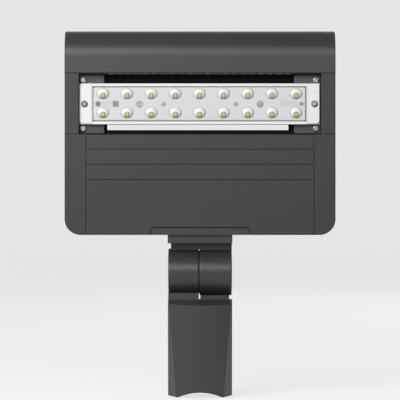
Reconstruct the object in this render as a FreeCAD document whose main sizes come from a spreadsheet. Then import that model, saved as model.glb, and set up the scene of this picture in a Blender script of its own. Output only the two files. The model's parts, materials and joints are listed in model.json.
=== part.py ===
# Shoebox area light on a tilting arm, every piece as its own solid.
# Frame: millimetres, +Z up along the arm towards the visor, -Y the lit face, +X to its right.
# The origin is on the axis of the arm's tenon bore, where the bore's wall first closes all round.
import FreeCAD, Part
import math
import os

import Sketcher
from FreeCAD import Placement, Rotation, Vector

# Driving dimensions: cell alias, value in millimetres (or a plain count), what it measures.
DIMENSIONS = (
    ("ArmHeight", 115.5, "arm body above the closed mouth"),
    ("ShoulderGap", 5.0, "arm body to the knuckle's barrels"),
    ("KnuckleWidth", 80.0, "across both barrels"),
    ("BarrelRadius", 29.5, "knuckle barrels"),
    ("BarrelGap", 0.8, "between the two barrel faces"),
    ("BarrelMiddle", -1.2, "split between the barrels, from the middle"),
    ("BarrelRim", 1.5, "rounding of the barrels' rims"),
    ("RegisterRim", 0.8, "wall outside the register's groove"),
    ("RegisterWidth", 1.2, "register ring across the split, wall"),
    ("RegisterReach", 0.8, "register ring into the arm's barrel"),
    ("RegisterGap", 0.3, "running clearance of the register ring"),
    ("ToothLand", 0.6, "between the register's groove and the toothed ring"),
    ("ToothRimGap", 0.4, "shallow ring around the teeth"),
    ("ToothLength", 8.4, "teeth along the radius"),
    ("ToothDepth", 1.1, "depth of the grooves between the teeth"),
    ("ToothSetback", 0.4, "teeth below the barrel's face"),
    ("ToothCount", 36.0, "teeth, one for each 10 degrees of tilt"),
    ("ChamberRadius", 13.0, "wire chamber around the pivot bolt"),
    ("ChamberDepth", 19.0, "wire chamber into each barrel"),
    ("PassageWall", 1.0, "wire passages from the tooth grooves"),
    ("WireHoleRadius", 7.0, "wire passages"),
    ("ArmProud", 0.2, "arm's sides outside the knuckle"),
    ("ArmDepth", 80.0, "arm front to back"),
    ("ShoulderDrop", 6.6, "shoulder slope, height"),
    ("ShoulderRun", 23.0, "shoulder slope, front to back"),
    ("DomeRadius", 150.0, "crown of the arm's front and back faces"),
    ("FaceInsetTop", 1.6, "crowned face inside the arm's sides at the top"),
    ("FaceInsetMouth", 10.6, "crowned face inside the arm's sides at the mouth"),
    ("FlankInsetTop", 7.0, "straight flank inside the arm's depth at the top"),
    ("FlankInsetMouth", 23.0, "straight flank inside the arm's depth at the mouth"),
    ("KnuckleWebDepth", 28.0, "web under the left barrel, front to back"),
    ("CradleDepth", 17.6, "pad under the right barrel, front to back"),
    ("CradleInset", 3.3, "pads inside the knuckle's ends"),
    ("CradleEnd", 1.2, "pads from the barrel faces"),
    ("CradleRise", 2.0, "pad above the right barrel's lowest line"),
    ("TenonBoreRadius", 30.75, "bore for a 60.3 mm tenon"),
    ("TenonBoreDepth", 80.0, "depth of the tenon bore"),
    ("SaddleRadius", 65.6, "hollow of the mouth, for a round pole"),
    ("SaddleRise", 6.0, "height of the hollow at the middle"),
    ("MouthCornerRise", 1.6, "rise of the mouth at the flanks"),
    ("SetScrewRadius", 5.0, "tenon set screws, M10"),
    ("SetScrewFit", 0.03, "set screws in their holes"),
    ("SetScrewLow", 15.0, "lowest set screw above the mouth"),
    ("SetScrewStep", 26.0, "between set screws"),
    ("SetScrewTip", 0.2, "set screws' tips outside the bore"),
    ("SetScrewProud", 1.0, "set screws beyond the arm's back"),
    ("SetScrewKey", 5.0, "set screws' key socket, across flats"),
    ("SetScrewSocket", 5.0, "set screws' key socket, depth"),
    ("BoltRadius", 5.0, "pivot bolt, M10"),
    ("BoltFit", 0.05, "running clearance of the pivot bolt"),
    ("BoltSlack", 0.1, "pivot bolt in the arm's barrel"),
    ("BoltSeat", 9.0, "depth of the bolt head's and nut's seats"),
    ("BoltHeadHeight", 6.0, "pivot bolt head"),
    ("BoltTail", 0.5, "pivot bolt beyond its nut"),
    ("HexAcross", 16.0, "bolt head and nut across flats"),
    ("HexGap", 0.2, "nut's seat wider than the nut"),
    ("NutHeight", 8.0, "pivot nut"),
    ("NutFit", 0.02, "nut and washer to what they meet"),
    ("WasherRadius", 10.0, "pivot washer"),
    ("WasherThickness", 1.4, "pivot washer"),
    ("CapThickness", 1.3, "cap over the bolt head"),
    ("CapMargin", 1.6, "cap beyond the washer"),
    ("HeadStandoff", 47.0, "tilt axis to the head's rear edge"),
    ("WebGap", 0.8, "knuckle webs and pads to the turning barrels"),
    ("WebDepth", 20.0, "knuckle web front to back"),
    ("WebLip", 2.0, "lip in front of and behind the knuckle web"),
    ("WebLipRise", 0.5, "lip above the left barrel's highest line"),
    ("PlateProud", 0.5, "neck plate's ends outside the knuckle"),
    ("PlateDepth", 58.0, "neck plate front to back"),
    ("PlateHeight", 10.6, "neck plate"),
    ("FlangeWidth", 122.6, "bracket flange across"),
    ("FlangeDepth", 68.0, "bracket flange front to back"),
    ("FlangeHeight", 9.0, "bracket flange"),
    ("FlangeGap", 0.7, "around the bracket flange"),
    ("GasketThickness", 1.0, "bracket gasket"),
    ("GasketInset", 1.0, "bracket gasket inside the flange's ends"),
    ("GasketMargin", 1.5, "bracket gasket inside the housing's front and back"),
    ("BracketBoltRadius", 4.0, "bracket bolts, M8"),
    ("BracketBoltGap", 0.4, "bracket bolts to the housing and the gasket"),
    ("BracketBoltInset", 17.3, "bracket bolts from the flange's ends"),
    ("BracketBoltY", 18.0, "bracket bolts from the middle, front to back"),
    ("BracketBoltFloor", 1.5, "floor under the bracket bolts' holes"),
    ("BracketBoltEnd", 2.0, "bracket bolts' ends above the flange's underside"),
    ("BracketBoltHead", 13.0, "bracket bolt heads across flats"),
    ("BracketBoltHeadHeight", 5.3, "bracket bolt heads"),
    ("HeadWidth", 338.8, "head across"),
    ("FaceDepth", 36.0, "lit face in front of the tilt axis"),
    ("BackDepth", 36.0, "back of the driver housing behind the tilt axis"),
    ("CoreDepth", 32.0, "back of visor and rails behind the tilt axis"),
    ("BayLength", 126.3, "driver housing along Z"),
    ("SlotLength", 76.2, "light slot along Z"),
    ("VisorFlat", 21.9, "flat part of the visor's face"),
    ("VisorCurve", 31.9, "radius of the visor's front curve"),
    ("VisorProud", 1.0, "visor in front of the lit face"),
    ("CornerRadius", 20.0, "rear corners of the head"),
    ("Wall", 3.5, "casting walls"),
    ("SeamGap", 0.3, "seams between castings"),
    ("EdgeRadius", 1.2, "softened casting edges"),
    ("BackEdgeRadius", 6.0, "back edges of the driver housing"),
    ("VisorPlateGap", 0.2, "visor plate inside the visor"),
    ("VisorPlateHeight", 6.0, "visor plate along Z"),
    ("VisorScrewInset", 49.4, "outer visor screws from the head's sides"),
    ("VisorScrewDepth", 14.0, "visor screw holes in the visor plate"),
    ("VisorScrewLength", 16.0, "visor screws under their heads"),
    ("VisorScrewHead", 4.0, "visor screw heads"),
    ("VisorScrewHeadHeight", 2.4, "visor screw heads"),
    ("BezelDepth", 8.0, "bezel front to back at its side strips"),
    ("BezelPlate", 2.8, "bezel plate behind the door"),
    ("StripWidth", 26.6, "side strips beside the door"),
    ("WindowSide", 12.6, "bezel ledge at the sides"),
    ("WindowLow", 22.0, "bezel ledge at the rear"),
    ("WindowHigh", 10.0, "bezel ledge at the hinge"),
    ("BossInset", 4.3, "bezel screws inside the side strips"),
    ("BossWall", 3.2, "bosses around the bezel screws"),
    ("BossLow", 30.0, "lower bezel screws above the head's rear edge"),
    ("BossHigh", 22.0, "upper bezel screws below the light slot"),
    ("BossHole", 14.0, "bezel screw holes in the bosses"),
    ("BezelScrewLength", 12.0, "bezel screws in the bosses"),
    ("BezelScrewHead", 3.2, "bezel screw heads"),
    ("BezelScrewHeadHeight", 1.8, "bezel screw heads"),
    ("BezelScrewCross", 3.0, "bezel screws' cross recess"),
    ("DoorGap", 0.4, "around the driver door"),
    ("DoorThickness", 3.0, "driver door"),
    ("DoorBead", 2.4, "radius of the door's hinge bead"),
    ("DoorRimInset", 1.5, "door rim inside the bezel window"),
    ("DoorRimWall", 2.4, "door rim wall"),
    ("DoorRimDepth", 5.0, "door rim"),
    ("GrooveFirst", 19.4, "first door groove below the slot"),
    ("GrooveStep", 19.0, "between door grooves"),
    ("GrooveWidth", 1.4, "door grooves"),
    ("GrooveDepth", 1.2, "door grooves"),
    ("GrooveCount", 3.0, "door grooves"),
    ("PinRadius", 1.2, "door hinge pins"),
    ("PinFit", 0.06, "running clearance of the door on its pins"),
    ("PinSeat", 0.02, "door hinge pins in the bezel"),
    ("PinEnd", 0.5, "door hinge pins short of the bottoms of their holes"),
    ("PinLength", 16.0, "door hinge pins"),
    ("DoorSealInset", 0.8, "door gasket from the bezel window"),
    ("DoorSealWidth", 3.5, "door gasket"),
    ("DoorSealGap", 0.3, "door gasket to the closed door"),
    ("CatchInset", 42.2, "door catches from the window's sides"),
    ("CatchWidth", 14.0, "door catches"),
    ("CatchLength", 12.0, "door catches below the bezel window"),
    ("CatchThickness", 0.8, "door catches"),
    ("CatchGap", 0.4, "door catches to the door's rim"),
    ("RailWidth", 18.2, "side rails beside the slot"),
    ("LipShy", 0.5, "rail lips' edges behind the bridges' edges"),
    ("LipDepth", 15.0, "rail lips behind the lit face"),
    ("LipThickness", 3.5, "rail lips"),
    ("RailScrewInset", 9.0, "rail screws from the head's sides"),
    ("RailScrewSetback", 3.0, "rail screws in front of the lips"),
    ("RailScrewDepth", 16.0, "rail screw holes in the rails"),
    ("RailScrewLength", 14.0, "rail screws in the rails"),
    ("RailScrewHead", 7.0, "rail screw heads across flats"),
    ("RailScrewHeadHeight", 2.8, "rail screw heads"),
    ("BridgeThickness", 3.0, "mounting bridges"),
    ("BridgeSideGap", 0.3, "bridges to the side rails"),
    ("BridgeEndGap", 1.9, "bridges' ends to the slot's ends"),
    ("BridgeDrop", 0.7, "bridges below the slot's middle"),
    ("BridgeLeft", 31.0, "left bridge's edge from the rail"),
    ("BridgeRight", 33.4, "right bridge's edge from the rail"),
    ("ModuleMiddle", -0.7, "light module, middle across"),
    ("ModuleDrop", 0.4, "light module below the slot's middle"),
    ("ModuleSideGap", 1.05, "light module's play to each rail"),
    ("ModuleHeight", 51.2, "light module frame along Z"),
    ("ModuleDepth", 6.0, "light module frame front to back"),
    ("ModuleRaise", 2.0, "raised borders of the frame"),
    ("ModuleEdge", 0.6, "rounded edges of the frame"),
    ("FrameFloor", 2.0, "frame floor under the circuit board"),
    ("EndPlateLength", 15.3, "module end plates across"),
    ("EndPlateInset", 0.8, "module end plates inside the frame's height"),
    ("EndPlateGap", 0.2, "module end plates to the frame's raised border"),
    ("EndPlateCorner", 4.5, "end plates' outer corners"),
    ("EndPlateEdge", 0.5, "rounded edges of the end plates"),
    ("LensMargin", 2.15, "lens plate to the end plates"),
    ("LensBorder", 4.8, "lens plate inside the frame's height"),
    ("LensProud", 0.3, "lens plate in front of the frame"),
    ("LensThickness", 2.4, "lens plate skin"),
    ("LensRim", 2.6, "lens plate's foot around its edge"),
    ("LensSealWidth", 1.0, "groove for the seal around the lens plate"),
    ("LensSealGap", 0.05, "seal in its groove"),
    ("LensSealSink", 0.5, "seal behind the frame's face"),
    ("DomeLong", 8.3, "lens dome, half width across"),
    ("DomeShort", 6.7, "lens dome, half height along Z"),
    ("DomeRise", 3.4, "lens dome above the lens plate"),
    ("DomeEdge", 0.34, "straight foot of the domes"),
    ("LensEnd", 11.9, "end lenses from the lens plate's ends"),
    ("LensRows", 23.8, "between the two lens rows"),
    ("LensRaise", 1.0, "lens rows above the module's middle"),
    ("LensColumns", 9.0, "lens columns"),
    ("BoardThickness", 1.6, "circuit board"),
    ("BoardMargin", 3.2, "circuit board inside the lens plate's edge"),
    ("ChipSize", 5.0, "light emitting chips"),
    ("ChipHeight", 0.9, "light emitting chips"),
    ("ChipDrop", 2.7, "light emitting chips below the middles of their domes"),
    ("SocketInset", 9.8, "left lead socket from the lens plate's end"),
    ("SocketLength", 14.5, "left lead socket"),
    ("SocketHeight", 8.0, "lead sockets along Z"),
    ("SocketRise", 1.8, "lead sockets above the board"),
    ("SensorGap", 1.2, "sensor block beyond the left lead socket"),
    ("SensorLength", 6.8, "sensor block"),
    ("SensorHeight", 6.6, "sensor block along Z"),
    ("SensorRise", 1.5, "sensor block above the board"),
    ("FarSocketInset", 7.1, "right lead socket from the lens plate's end"),
    ("FarSocketLength", 25.0, "right lead socket"),
    ("PegRadius", 3.1, "locating pegs of the lens plate"),
    ("PegRise", 0.5, "locating pegs above the lens plate"),
    ("LensScrewHead", 4.3, "lens screw heads"),
    ("LensScrewHeadHeight", 0.9, "lens screw heads"),
    ("LensScrewRadius", 1.4, "lens screws"),
    ("LensScrewCross", 3.4, "lens screws' cross recess"),
    ("ScrewRadius", 2.0, "M4 screws"),
    ("ScrewGap", 0.2, "clearance holes around screws"),
    ("ScrewFit", 0.1, "close holes around screws"),
    ("ScrewInset", 5.3, "bridge screws from the side rails"),
    ("ScrewEnd", 5.9, "bridge screws from the bridges' ends"),
    ("ScrewHead", 3.95, "bridge screw heads"),
    ("ScrewHeadHeight", 2.8, "bridge screw heads"),
    ("ScrewCross", 4.2, "bridge screws' cross recess"),
    ("CrossWidth", 0.3, "width of a cross recess, as a part of its length"),
    ("CrossDepth", 0.45, "depth of a cross recess, as a part of the head's height"),
    ("HeadRound", 0.45, "rounding of a screw head, as a part of its height"),
    ("EndScrewInset", 6.15, "end plate screws from the module's ends"),
    ("EndScrewRadius", 1.5, "end plate screws"),
    ("EndScrewHead", 3.0, "end plate screw heads"),
    ("EndScrewHeadHeight", 1.6, "end plate screw heads"),
    ("EndScrewCross", 2.8, "end plate screws' cross recess"),
    ("EndRingRadius", 4.1, "rings under the end plate screws"),
    ("EndRingHeight", 0.8, "rings under the end plate screws"),
    ("LeadInset", 5.86, "lead hole from the lens plate's left end"),
    ("LeadHole", 3.3, "lead hole in the circuit board"),
    ("LeadHoleStep", 0.25, "each lead hole wider than the one before it"),
    ("SinkLift", 0.1, "heat sink behind the rail lips"),
    ("SinkPlate", 3.2, "heat sink plate"),
    ("SinkOverlap", 14.0, "heat sink plate behind the rail lips"),
    ("SinkEndGap", 0.6, "heat sink plate to the visor"),
    ("SinkInset", 0.3, "heat sink's pad inside the bridges"),
    ("SinkShy", 0.4, "heat sink's pad inside the module's edges"),
    ("SinkScrewInset", 3.2, "heat sink screws from the lips' edges"),
    ("SinkScrewLow", 18.0, "lower heat sink screws below the module's middle"),
    ("SinkScrewHigh", 26.0, "upper heat sink screws above the module's middle"),
    ("SinkScrewRadius", 1.25, "heat sink screws"),
    ("SinkScrewDepth", 3.0, "heat sink screw holes in the lips"),
    ("SinkScrewLength", 2.0, "heat sink screws in the lips"),
    ("SinkScrewHead", 2.6, "heat sink screw heads"),
    ("SinkScrewHeadHeight", 2.0, "heat sink screw heads"),
    ("FinCount", 22.0, "heat sink fins"),
    ("FinThickness", 2.2, "heat sink fins"),
    ("FinDepth", 43.0, "heat sink fins front to back"),
    ("FinSetback", 3.6, "fins above the airflow slot"),
    ("AirSill", 5.3, "airflow slot above the driver housing"),
    ("AirLeft", 34.6, "airflow slot's left end from the rail"),
    ("AirRight", 40.2, "airflow slot's right end from the rail"),
    ("KeySocket", 1.0, "key sockets of the screws at the back"),
    ("DriverInset", 53.4, "driver from the head's left side"),
    ("DriverLength", 170.0, "driver across"),
    ("DriverWidth", 58.0, "driver along Z"),
    ("DriverDepth", 33.0, "driver front to back"),
    ("DriverEdge", 3.0, "rounded edges of the driver's case"),
    ("DriverLow", 46.0, "driver above the head's rear edge"),
    ("DriverPlate", 1.5, "driver mounting plate"),
    ("DriverPlateLug", 11.0, "mounting plate beyond the driver's ends"),
    ("DriverPlateMargin", 4.0, "mounting plate beyond the driver's sides"),
    ("DriverScrewInset", 6.0, "driver screws inside the driver's sides"),
    ("DriverScrewHead", 3.5, "driver screw heads"),
    ("DriverScrewHeadHeight", 2.4, "driver screw heads"),
    ("DriverScrewCross", 3.6, "driver screws' cross recess"),
    ("DriverScrewFloor", 1.0, "housing left behind the driver screws' holes"),
    ("DriverScrewEnd", 1.2, "driver screws' ends inside the housing's back"),
    ("SurgeGap", 20.0, "surge protector beyond the driver"),
    ("SurgeLow", 52.0, "surge protector above the head's rear edge"),
    ("SurgeLength", 56.0, "surge protector across"),
    ("SurgeHeight", 58.0, "surge protector along Z, over its lugs"),
    ("SurgeLug", 10.0, "surge protector's lugs"),
    ("SurgeDepth", 26.0, "surge protector front to back"),
    ("SurgeFoot", 3.0, "surge protector's lugs front to back"),
    ("SurgeCorner", 4.0, "rounded corners of the surge protector"),
    ("TerminalInset", 79.4, "terminal block's left end from the head's right side"),
    ("TerminalRise", 30.0, "terminal block's middle above the head's rear edge"),
    ("TerminalLength", 40.0, "terminal block across"),
    ("TerminalHeight", 18.0, "terminal block along Z"),
    ("TerminalDepth", 18.0, "terminal block front to back"),
    ("TerminalFirst", 8.0, "first terminal from the block's left end"),
    ("TerminalStep", 12.0, "between terminals"),
    ("TerminalWell", 3.0, "terminal screw wells"),
    ("TerminalWellRise", 3.0, "terminal screw wells above the block's middle"),
    ("TerminalFloor", 8.0, "terminal block behind its wells"),
    ("TerminalScrewGap", 0.3, "terminal screws in their wells"),
    ("TerminalScrewHeight", 4.0, "terminal screws"),
    ("TerminalSlotWidth", 0.9, "terminal screws' slots"),
    ("TerminalSlotDepth", 1.0, "terminal screws' slots"),
    ("TerminalSlotEnd", 0.5, "terminal screws' slots inside their edges"),
    ("BushingInset", 20.0, "wire bushing from the head's left side"),
    ("BushingY", 6.0, "wire bushing behind the tilt axis"),
    ("BushingNeck", 6.0, "wire bushing's neck"),
    ("BushingBore", 3.6, "wire bushing's bore"),
    ("BushingRim", 3.0, "wire bushing's rims beyond its neck"),
    ("BushingRimHeight", 2.0, "wire bushing's rims"),
    ("VentInset", 57.4, "breather vent from the head's right side"),
    ("VentY", 4.0, "breather vent behind the tilt axis"),
    ("VentNeck", 6.0, "breather vent's neck"),
    ("VentSink", 0.4, "breather vent inside the housing's underside"),
    ("VentHex", 17.0, "breather vent across flats"),
    ("VentHexHeight", 4.0, "breather vent's hexagon"),
    ("VentHole", 0.8, "breather vent's holes"),
    ("VentHoleRing", 3.0, "breather vent's holes from its middle"),
    ("VentHoleDepth", 1.6, "breather vent's holes"),
    ("SoftFit", 0.05, "necks of bushing and vent in their holes"),
    ("ModuleLead", 1.9, "leads to the light module"),
    ("ModuleLeadStep", 3.4, "between the leads to the light module"),
    ("InputLead", 2.2, "leads from the terminal block"),
)


class Dim:
    """A size in millimetres with the sheet expression that gives it."""

    def __init__(self, value, text):
        self.value = float(value)
        self.text = text

    def __add__(self, other):
        other = dim(other)
        return Dim(self.value + other.value, f"({self.text} + {other.text})")

    def __sub__(self, other):
        other = dim(other)
        return Dim(self.value - other.value, f"({self.text} - {other.text})")

    def __mul__(self, other):
        other = dim(other)
        return Dim(self.value * other.value, f"({self.text} * {other.text})")

    def __truediv__(self, other):
        other = dim(other)
        return Dim(self.value / other.value, f"({self.text} / {other.text})")

    def __radd__(self, other):
        return dim(other) + self

    def __rsub__(self, other):
        return dim(other) - self

    def __rmul__(self, other):
        return dim(other) * self

    def __neg__(self):
        return dim(0.0) - self


def dim(number):
    return number if isinstance(number, Dim) else Dim(number, f"({float(number)})")


def root(size):
    return Dim(math.sqrt(size.value), f"sqrt({size.text})")


class Sizes:
    """The spreadsheet's cells as Dims, by alias."""

    def __init__(self, document):
        sheet = document.addObject("Spreadsheet::Sheet", "Sizes")
        for row, (alias, value, meaning) in enumerate(DIMENSIONS, start=1):
            sheet.set(f"A{row}", meaning)
            sheet.set(f"B{row}", str(value))
            sheet.setAlias(f"B{row}", alias)
            setattr(self, alias, Dim(value, f"Sizes.{alias}"))
        document.recompute()


doc = FreeCAD.newDocument("AreaLight")
size = Sizes(doc)
pieces = []


# Outlines ------------------------------------------------------------------------------------


def polygon(*points, arcs=None):
    """A closed outline; arcs maps an edge's number to (radius, counter-clockwise)."""
    return ("polygon", [(dim(a), dim(b)) for a, b in points], arcs or {})


def rectangle(low_a, high_a, low_b, high_b):
    return polygon((low_a, low_b), (high_a, low_b), (high_a, high_b), (low_a, high_b))


def centred(mid_a, mid_b, length_a, length_b):
    half_a, half_b = length_a / 2, length_b / 2
    return rectangle(mid_a - half_a, mid_a + half_a, mid_b - half_b, mid_b + half_b)


def disc(mid_a, mid_b, radius):
    return ("disc", (dim(mid_a), dim(mid_b)), dim(radius))


def oval(mid_a, mid_b, half_a, half_b):
    """A stadium: straight along the first axis, half circles at its ends."""
    straight = half_a - half_b
    return polygon(
        (mid_a - straight, mid_b - half_b),
        (mid_a + straight, mid_b - half_b),
        (mid_a + straight + half_b, mid_b),
        (mid_a + straight, mid_b + half_b),
        (mid_a - straight, mid_b + half_b),
        (mid_a - straight - half_b, mid_b),
        arcs={1: (half_b, True), 2: (half_b, True), 4: (half_b, True), 5: (half_b, True)},
    )


def hexagon(mid_a, mid_b, across):
    corner = across / math.sqrt(3.0)
    turns = [math.radians(60 * k) for k in range(6)]
    return polygon(*[(mid_a + corner * math.cos(t), mid_b + corner * math.sin(t)) for t in turns])


def arc_geometry(start, end, radius, anticlockwise):
    """The minor arc between two points, centre on the left of the way when anticlockwise."""
    chord = end - start
    middle = (start + end) * 0.5
    reach = math.sqrt(max(radius * radius - (chord.Length / 2) ** 2, 0.0))
    left = Vector(-chord.y, chord.x, 0).normalize()
    centre = middle + left * (reach if anticlockwise else -reach)
    first, last = (start, end) if anticlockwise else (end, start)
    angles = [math.atan2((p - centre).y, (p - centre).x) for p in (first, last)]
    if angles[1] < angles[0]:
        angles[1] += 2 * math.pi
    return Part.ArcOfCircle(Part.Circle(centre, Vector(0, 0, 1), radius), *angles)


class Piece:
    """A body: outlines drawn on its origin planes are padded (slab) or cut away (carve)."""

    NORMALS = {"XY": 1, "XZ": -1, "YZ": 1}  # the way each plane's normal points along its axis

    def __init__(self, label):
        self.body = doc.addObject("PartDesign::Body", label)
        self.body.Label = label
        self.label = label
        self.drawn = 0
        pieces.append(self.body)

    def sketch(self, plane, level, outlines, origin=None):
        self.drawn += 1
        sketch = self.body.newObject("Sketcher::SketchObject", f"{self.label}_sketch{self.drawn}")
        base = [o for o in self.body.Origin.OriginFeatures if o.Role == f"{plane}_Plane"][0]
        sketch.AttachmentSupport = [(base, "")]
        sketch.MapMode = "FlatFace"
        place = {"z": level * self.NORMALS[plane]}
        if origin:
            place["x"], place["y"] = dim(origin[0]), dim(origin[1])
        shift = Vector(*[place[a].value if a in place else 0.0 for a in "xyz"])
        sketch.AttachmentOffset = Placement(shift, Rotation())
        for axis, offset in place.items():
            sketch.setExpression(f"AttachmentOffset.Base.{axis}", offset.text)
        for outline in outlines:
            self.draw(sketch, *outline)
        return sketch

    def draw(self, sketch, kind, where, detail):
        first = sketch.GeometryCount
        if kind == "disc":
            centre = Vector(where[0].value, where[1].value, 0)
            sketch.addGeometry(Part.Circle(centre, Vector(0, 0, 1), detail.value), False)
            self.pin_point(sketch, first, 3, where)
            self.fix(sketch, Sketcher.Constraint("Radius", first, detail.value), detail)
            return
        count = len(where)
        points = [Vector(a.value, b.value, 0) for a, b in where]
        ends = []
        for k in range(count):
            start, end = points[k], points[(k + 1) % count]
            if k in detail:
                radius, anticlockwise = detail[k]
                sketch.addGeometry(arc_geometry(start, end, dim(radius).value, anticlockwise), False)
                ends.append((1, 2) if anticlockwise else (2, 1))
            else:
                sketch.addGeometry(Part.LineSegment(start, end), False)
                ends.append((1, 2))
        for k in range(count):
            after = (k + 1) % count
            join = Sketcher.Constraint("Coincident", first + k, ends[k][1], first + after, ends[after][0])
            sketch.addConstraint(join)
            self.pin_point(sketch, first + k, ends[k][0], where[k])
        for k, (radius, _) in detail.items():
            radius = dim(radius)
            self.fix(sketch, Sketcher.Constraint("Radius", first + k, radius.value), radius)

    def pin_point(self, sketch, geometry, end, where):
        for kind, offset in zip(("DistanceX", "DistanceY"), where):
            self.fix(sketch, Sketcher.Constraint(kind, -1, 1, geometry, end, offset.value), offset)

    def fix(self, sketch, constraint, offset):
        number = sketch.addConstraint(constraint)
        sketch.renameConstraint(number, f"size{number}")
        sketch.setExpression(f"Constraints.size{number}", offset.text)

    def slab(self, plane, low, high, *outlines, origin=None):
        low, high = dim(low), dim(high)
        level = high if plane == "XZ" else low
        return self.feature("Pad", self.sketch(plane, level, outlines, origin), high - low)

    def carve(self, plane, low, high, *outlines, origin=None):
        low, high = dim(low), dim(high)
        level = low if plane == "XZ" else high
        return self.feature("Pocket", self.sketch(plane, level, outlines, origin), high - low)

    def feature(self, kind, sketch, length):
        made = self.body.newObject(f"PartDesign::{kind}", f"{self.label}_{kind}{self.drawn}")
        made.Profile = sketch
        made.setExpression("Length", length.text)
        made.Length = length.value
        made.Refine = True
        return made

    def loft(self, lower, upper):
        made = self.body.newObject("PartDesign::AdditiveLoft", f"{self.label}_loft")
        made.Profile = lower
        made.Sections = [upper]
        made.Ruled = True
        return made

    def repeat(self, feature, sketch, axis, count, step):
        """The feature again along a sketch axis, count times in all, step apart."""
        made = self.body.newObject("PartDesign::LinearPattern", f"{feature.Name}_row")
        made.Originals = [feature]
        made.Direction = (sketch, [axis])
        made.Mode = "Spacing"
        made.setExpression("Offset", step.text)
        made.setExpression("Occurrences", count.text)
        self.body.Tip = made
        return made

    def turn(self, feature, sketch, count):
        """The feature again all round the sketch's own origin."""
        made = self.body.newObject("PartDesign::PolarPattern", f"{feature.Name}_ring")
        made.Originals = [feature]
        made.Axis = (sketch, ["N_Axis"])
        made.Angle = 360
        made.setExpression("Occurrences", count.text)
        self.body.Tip = made
        return made

    def soften(self, radius, chosen):
        """Rounds the edges that chosen(edge) accepts."""
        doc.recompute()
        tip = self.body.Tip
        edges = [f"Edge{k}" for k, edge in enumerate(tip.Shape.Edges, start=1) if chosen(edge)]
        made = self.body.newObject("PartDesign::Fillet", f"{self.label}_fillet{self.drawn}")
        made.Base = (tip, edges)
        made.setExpression("Radius", radius.text)
        self.drawn += 1
        return made


def along(edge, axis):
    """Whether an edge is straight and runs along x, y or z."""
    box = edge.BoundBox
    spans = {"x": box.XLength, "y": box.YLength, "z": box.ZLength}
    return spans.pop(axis) > 0.5 and max(spans.values()) < 1e-4


# Places that several pieces share ---------------------------------------------------------------

PAST = 1.0  # how far a cut or a joined slab runs past the face it meets

pivot = size.ArmHeight + size.ShoulderGap + size.BarrelRadius
knuckle_left = -size.KnuckleWidth / 2
knuckle_right = size.KnuckleWidth / 2
arm_face = size.BarrelMiddle - size.BarrelGap / 2
head_face = size.BarrelMiddle + size.BarrelGap / 2
swept = size.BarrelRadius + size.WebGap
register_outer = size.BarrelRadius - size.BarrelRim - size.RegisterRim - size.RegisterGap
register_inner = register_outer - size.RegisterWidth
tooth_ring = register_inner - size.RegisterGap - size.ToothLand
tooth_outer = tooth_ring - size.ToothRimGap
tooth_inner = tooth_outer - size.ToothLength
passage_in = size.ToothSetback + size.ToothDepth + size.PassageWall + size.WireHoleRadius
neck_hole_x = head_face + passage_in
arm_hole_x = arm_face - passage_in
nut_seat = knuckle_left + size.BoltSeat
washer_seat = knuckle_right - size.BoltSeat
bolt_seat = washer_seat + size.WasherThickness
cap_radius = size.WasherRadius + size.CapMargin
arm_side = size.KnuckleWidth / 2 + size.ArmProud
arm_back = size.ArmDepth / 2
set_screw_levels = [size.SetScrewLow + size.SetScrewStep * k for k in range(3)]

half = size.HeadWidth / 2
face = -size.FaceDepth
back = size.BackDepth
back_inner = back - size.Wall
core = size.CoreDepth
head_low = pivot + size.HeadStandoff
plate_low = head_low - size.PlateHeight
flange_top = head_low + size.FlangeHeight
bay_top = head_low + size.BayLength
bulkhead_under = bay_top - size.Wall
slot_top = bay_top + size.SlotLength
head_top = slot_top + size.VisorFlat + size.VisorCurve
bezel_back = face + size.BezelDepth
bezel_plate = bezel_back - size.BezelPlate
strip = half - size.StripWidth
window = strip - size.WindowSide
window_low = head_low + size.WindowLow
window_high = bay_top - size.WindowHigh
recess_half = size.FlangeWidth / 2 + size.FlangeGap
recess_top = flange_top + size.GasketThickness
bolt_x = size.FlangeWidth / 2 - size.BracketBoltInset
bracket_bolt_places = [(x, y) for x in (-bolt_x, bolt_x) for y in (-size.BracketBoltY, size.BracketBoltY)]
boss_x = strip - size.BossInset
boss_radius = size.ScrewRadius + size.BossWall
boss_places = [(x, z) for x in (-boss_x, boss_x) for z in (head_low + size.BossLow, bay_top - size.BossHigh)]

hinge_y = face + size.DoorBead
hinge_z = bay_top - size.SeamGap - size.DoorBead
pin_seat = size.PinLength / 2

slot_half = half - size.RailWidth
slot_middle = (bay_top + slot_top) / 2
lip_front = face + size.LipDepth
lip_back = lip_front + size.LipThickness
bridge_front = lip_front - size.BridgeThickness
bridge_left_edge = -slot_half + size.BridgeLeft
bridge_right_edge = slot_half - size.BridgeRight
lip_left = bridge_left_edge - size.LipShy
lip_right = bridge_right_edge + size.LipShy
bridge_low = bay_top + size.BridgeEndGap - size.BridgeDrop
bridge_high = slot_top - size.BridgeEndGap - size.BridgeDrop
screw_x = slot_half - size.ScrewInset
screw_levels = (bridge_low + size.ScrewEnd, bridge_high - size.ScrewEnd)
rail_screw_y = lip_front - size.RailScrewSetback
rail_screw_x = half - size.RailScrewInset
rail_screw_places = [(-rail_screw_x, rail_screw_y), (rail_screw_x, rail_screw_y)]
visor_plate_top = slot_top + size.VisorPlateHeight
visor_plate_inset = size.Wall + size.VisorPlateGap
visor_screw_x = half - size.VisorScrewInset
visor_screw_z = slot_top + size.VisorPlateHeight / 2
visor_screw_places = [(x, visor_screw_z) for x in (-visor_screw_x, dim(0.0), visor_screw_x)]

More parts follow.
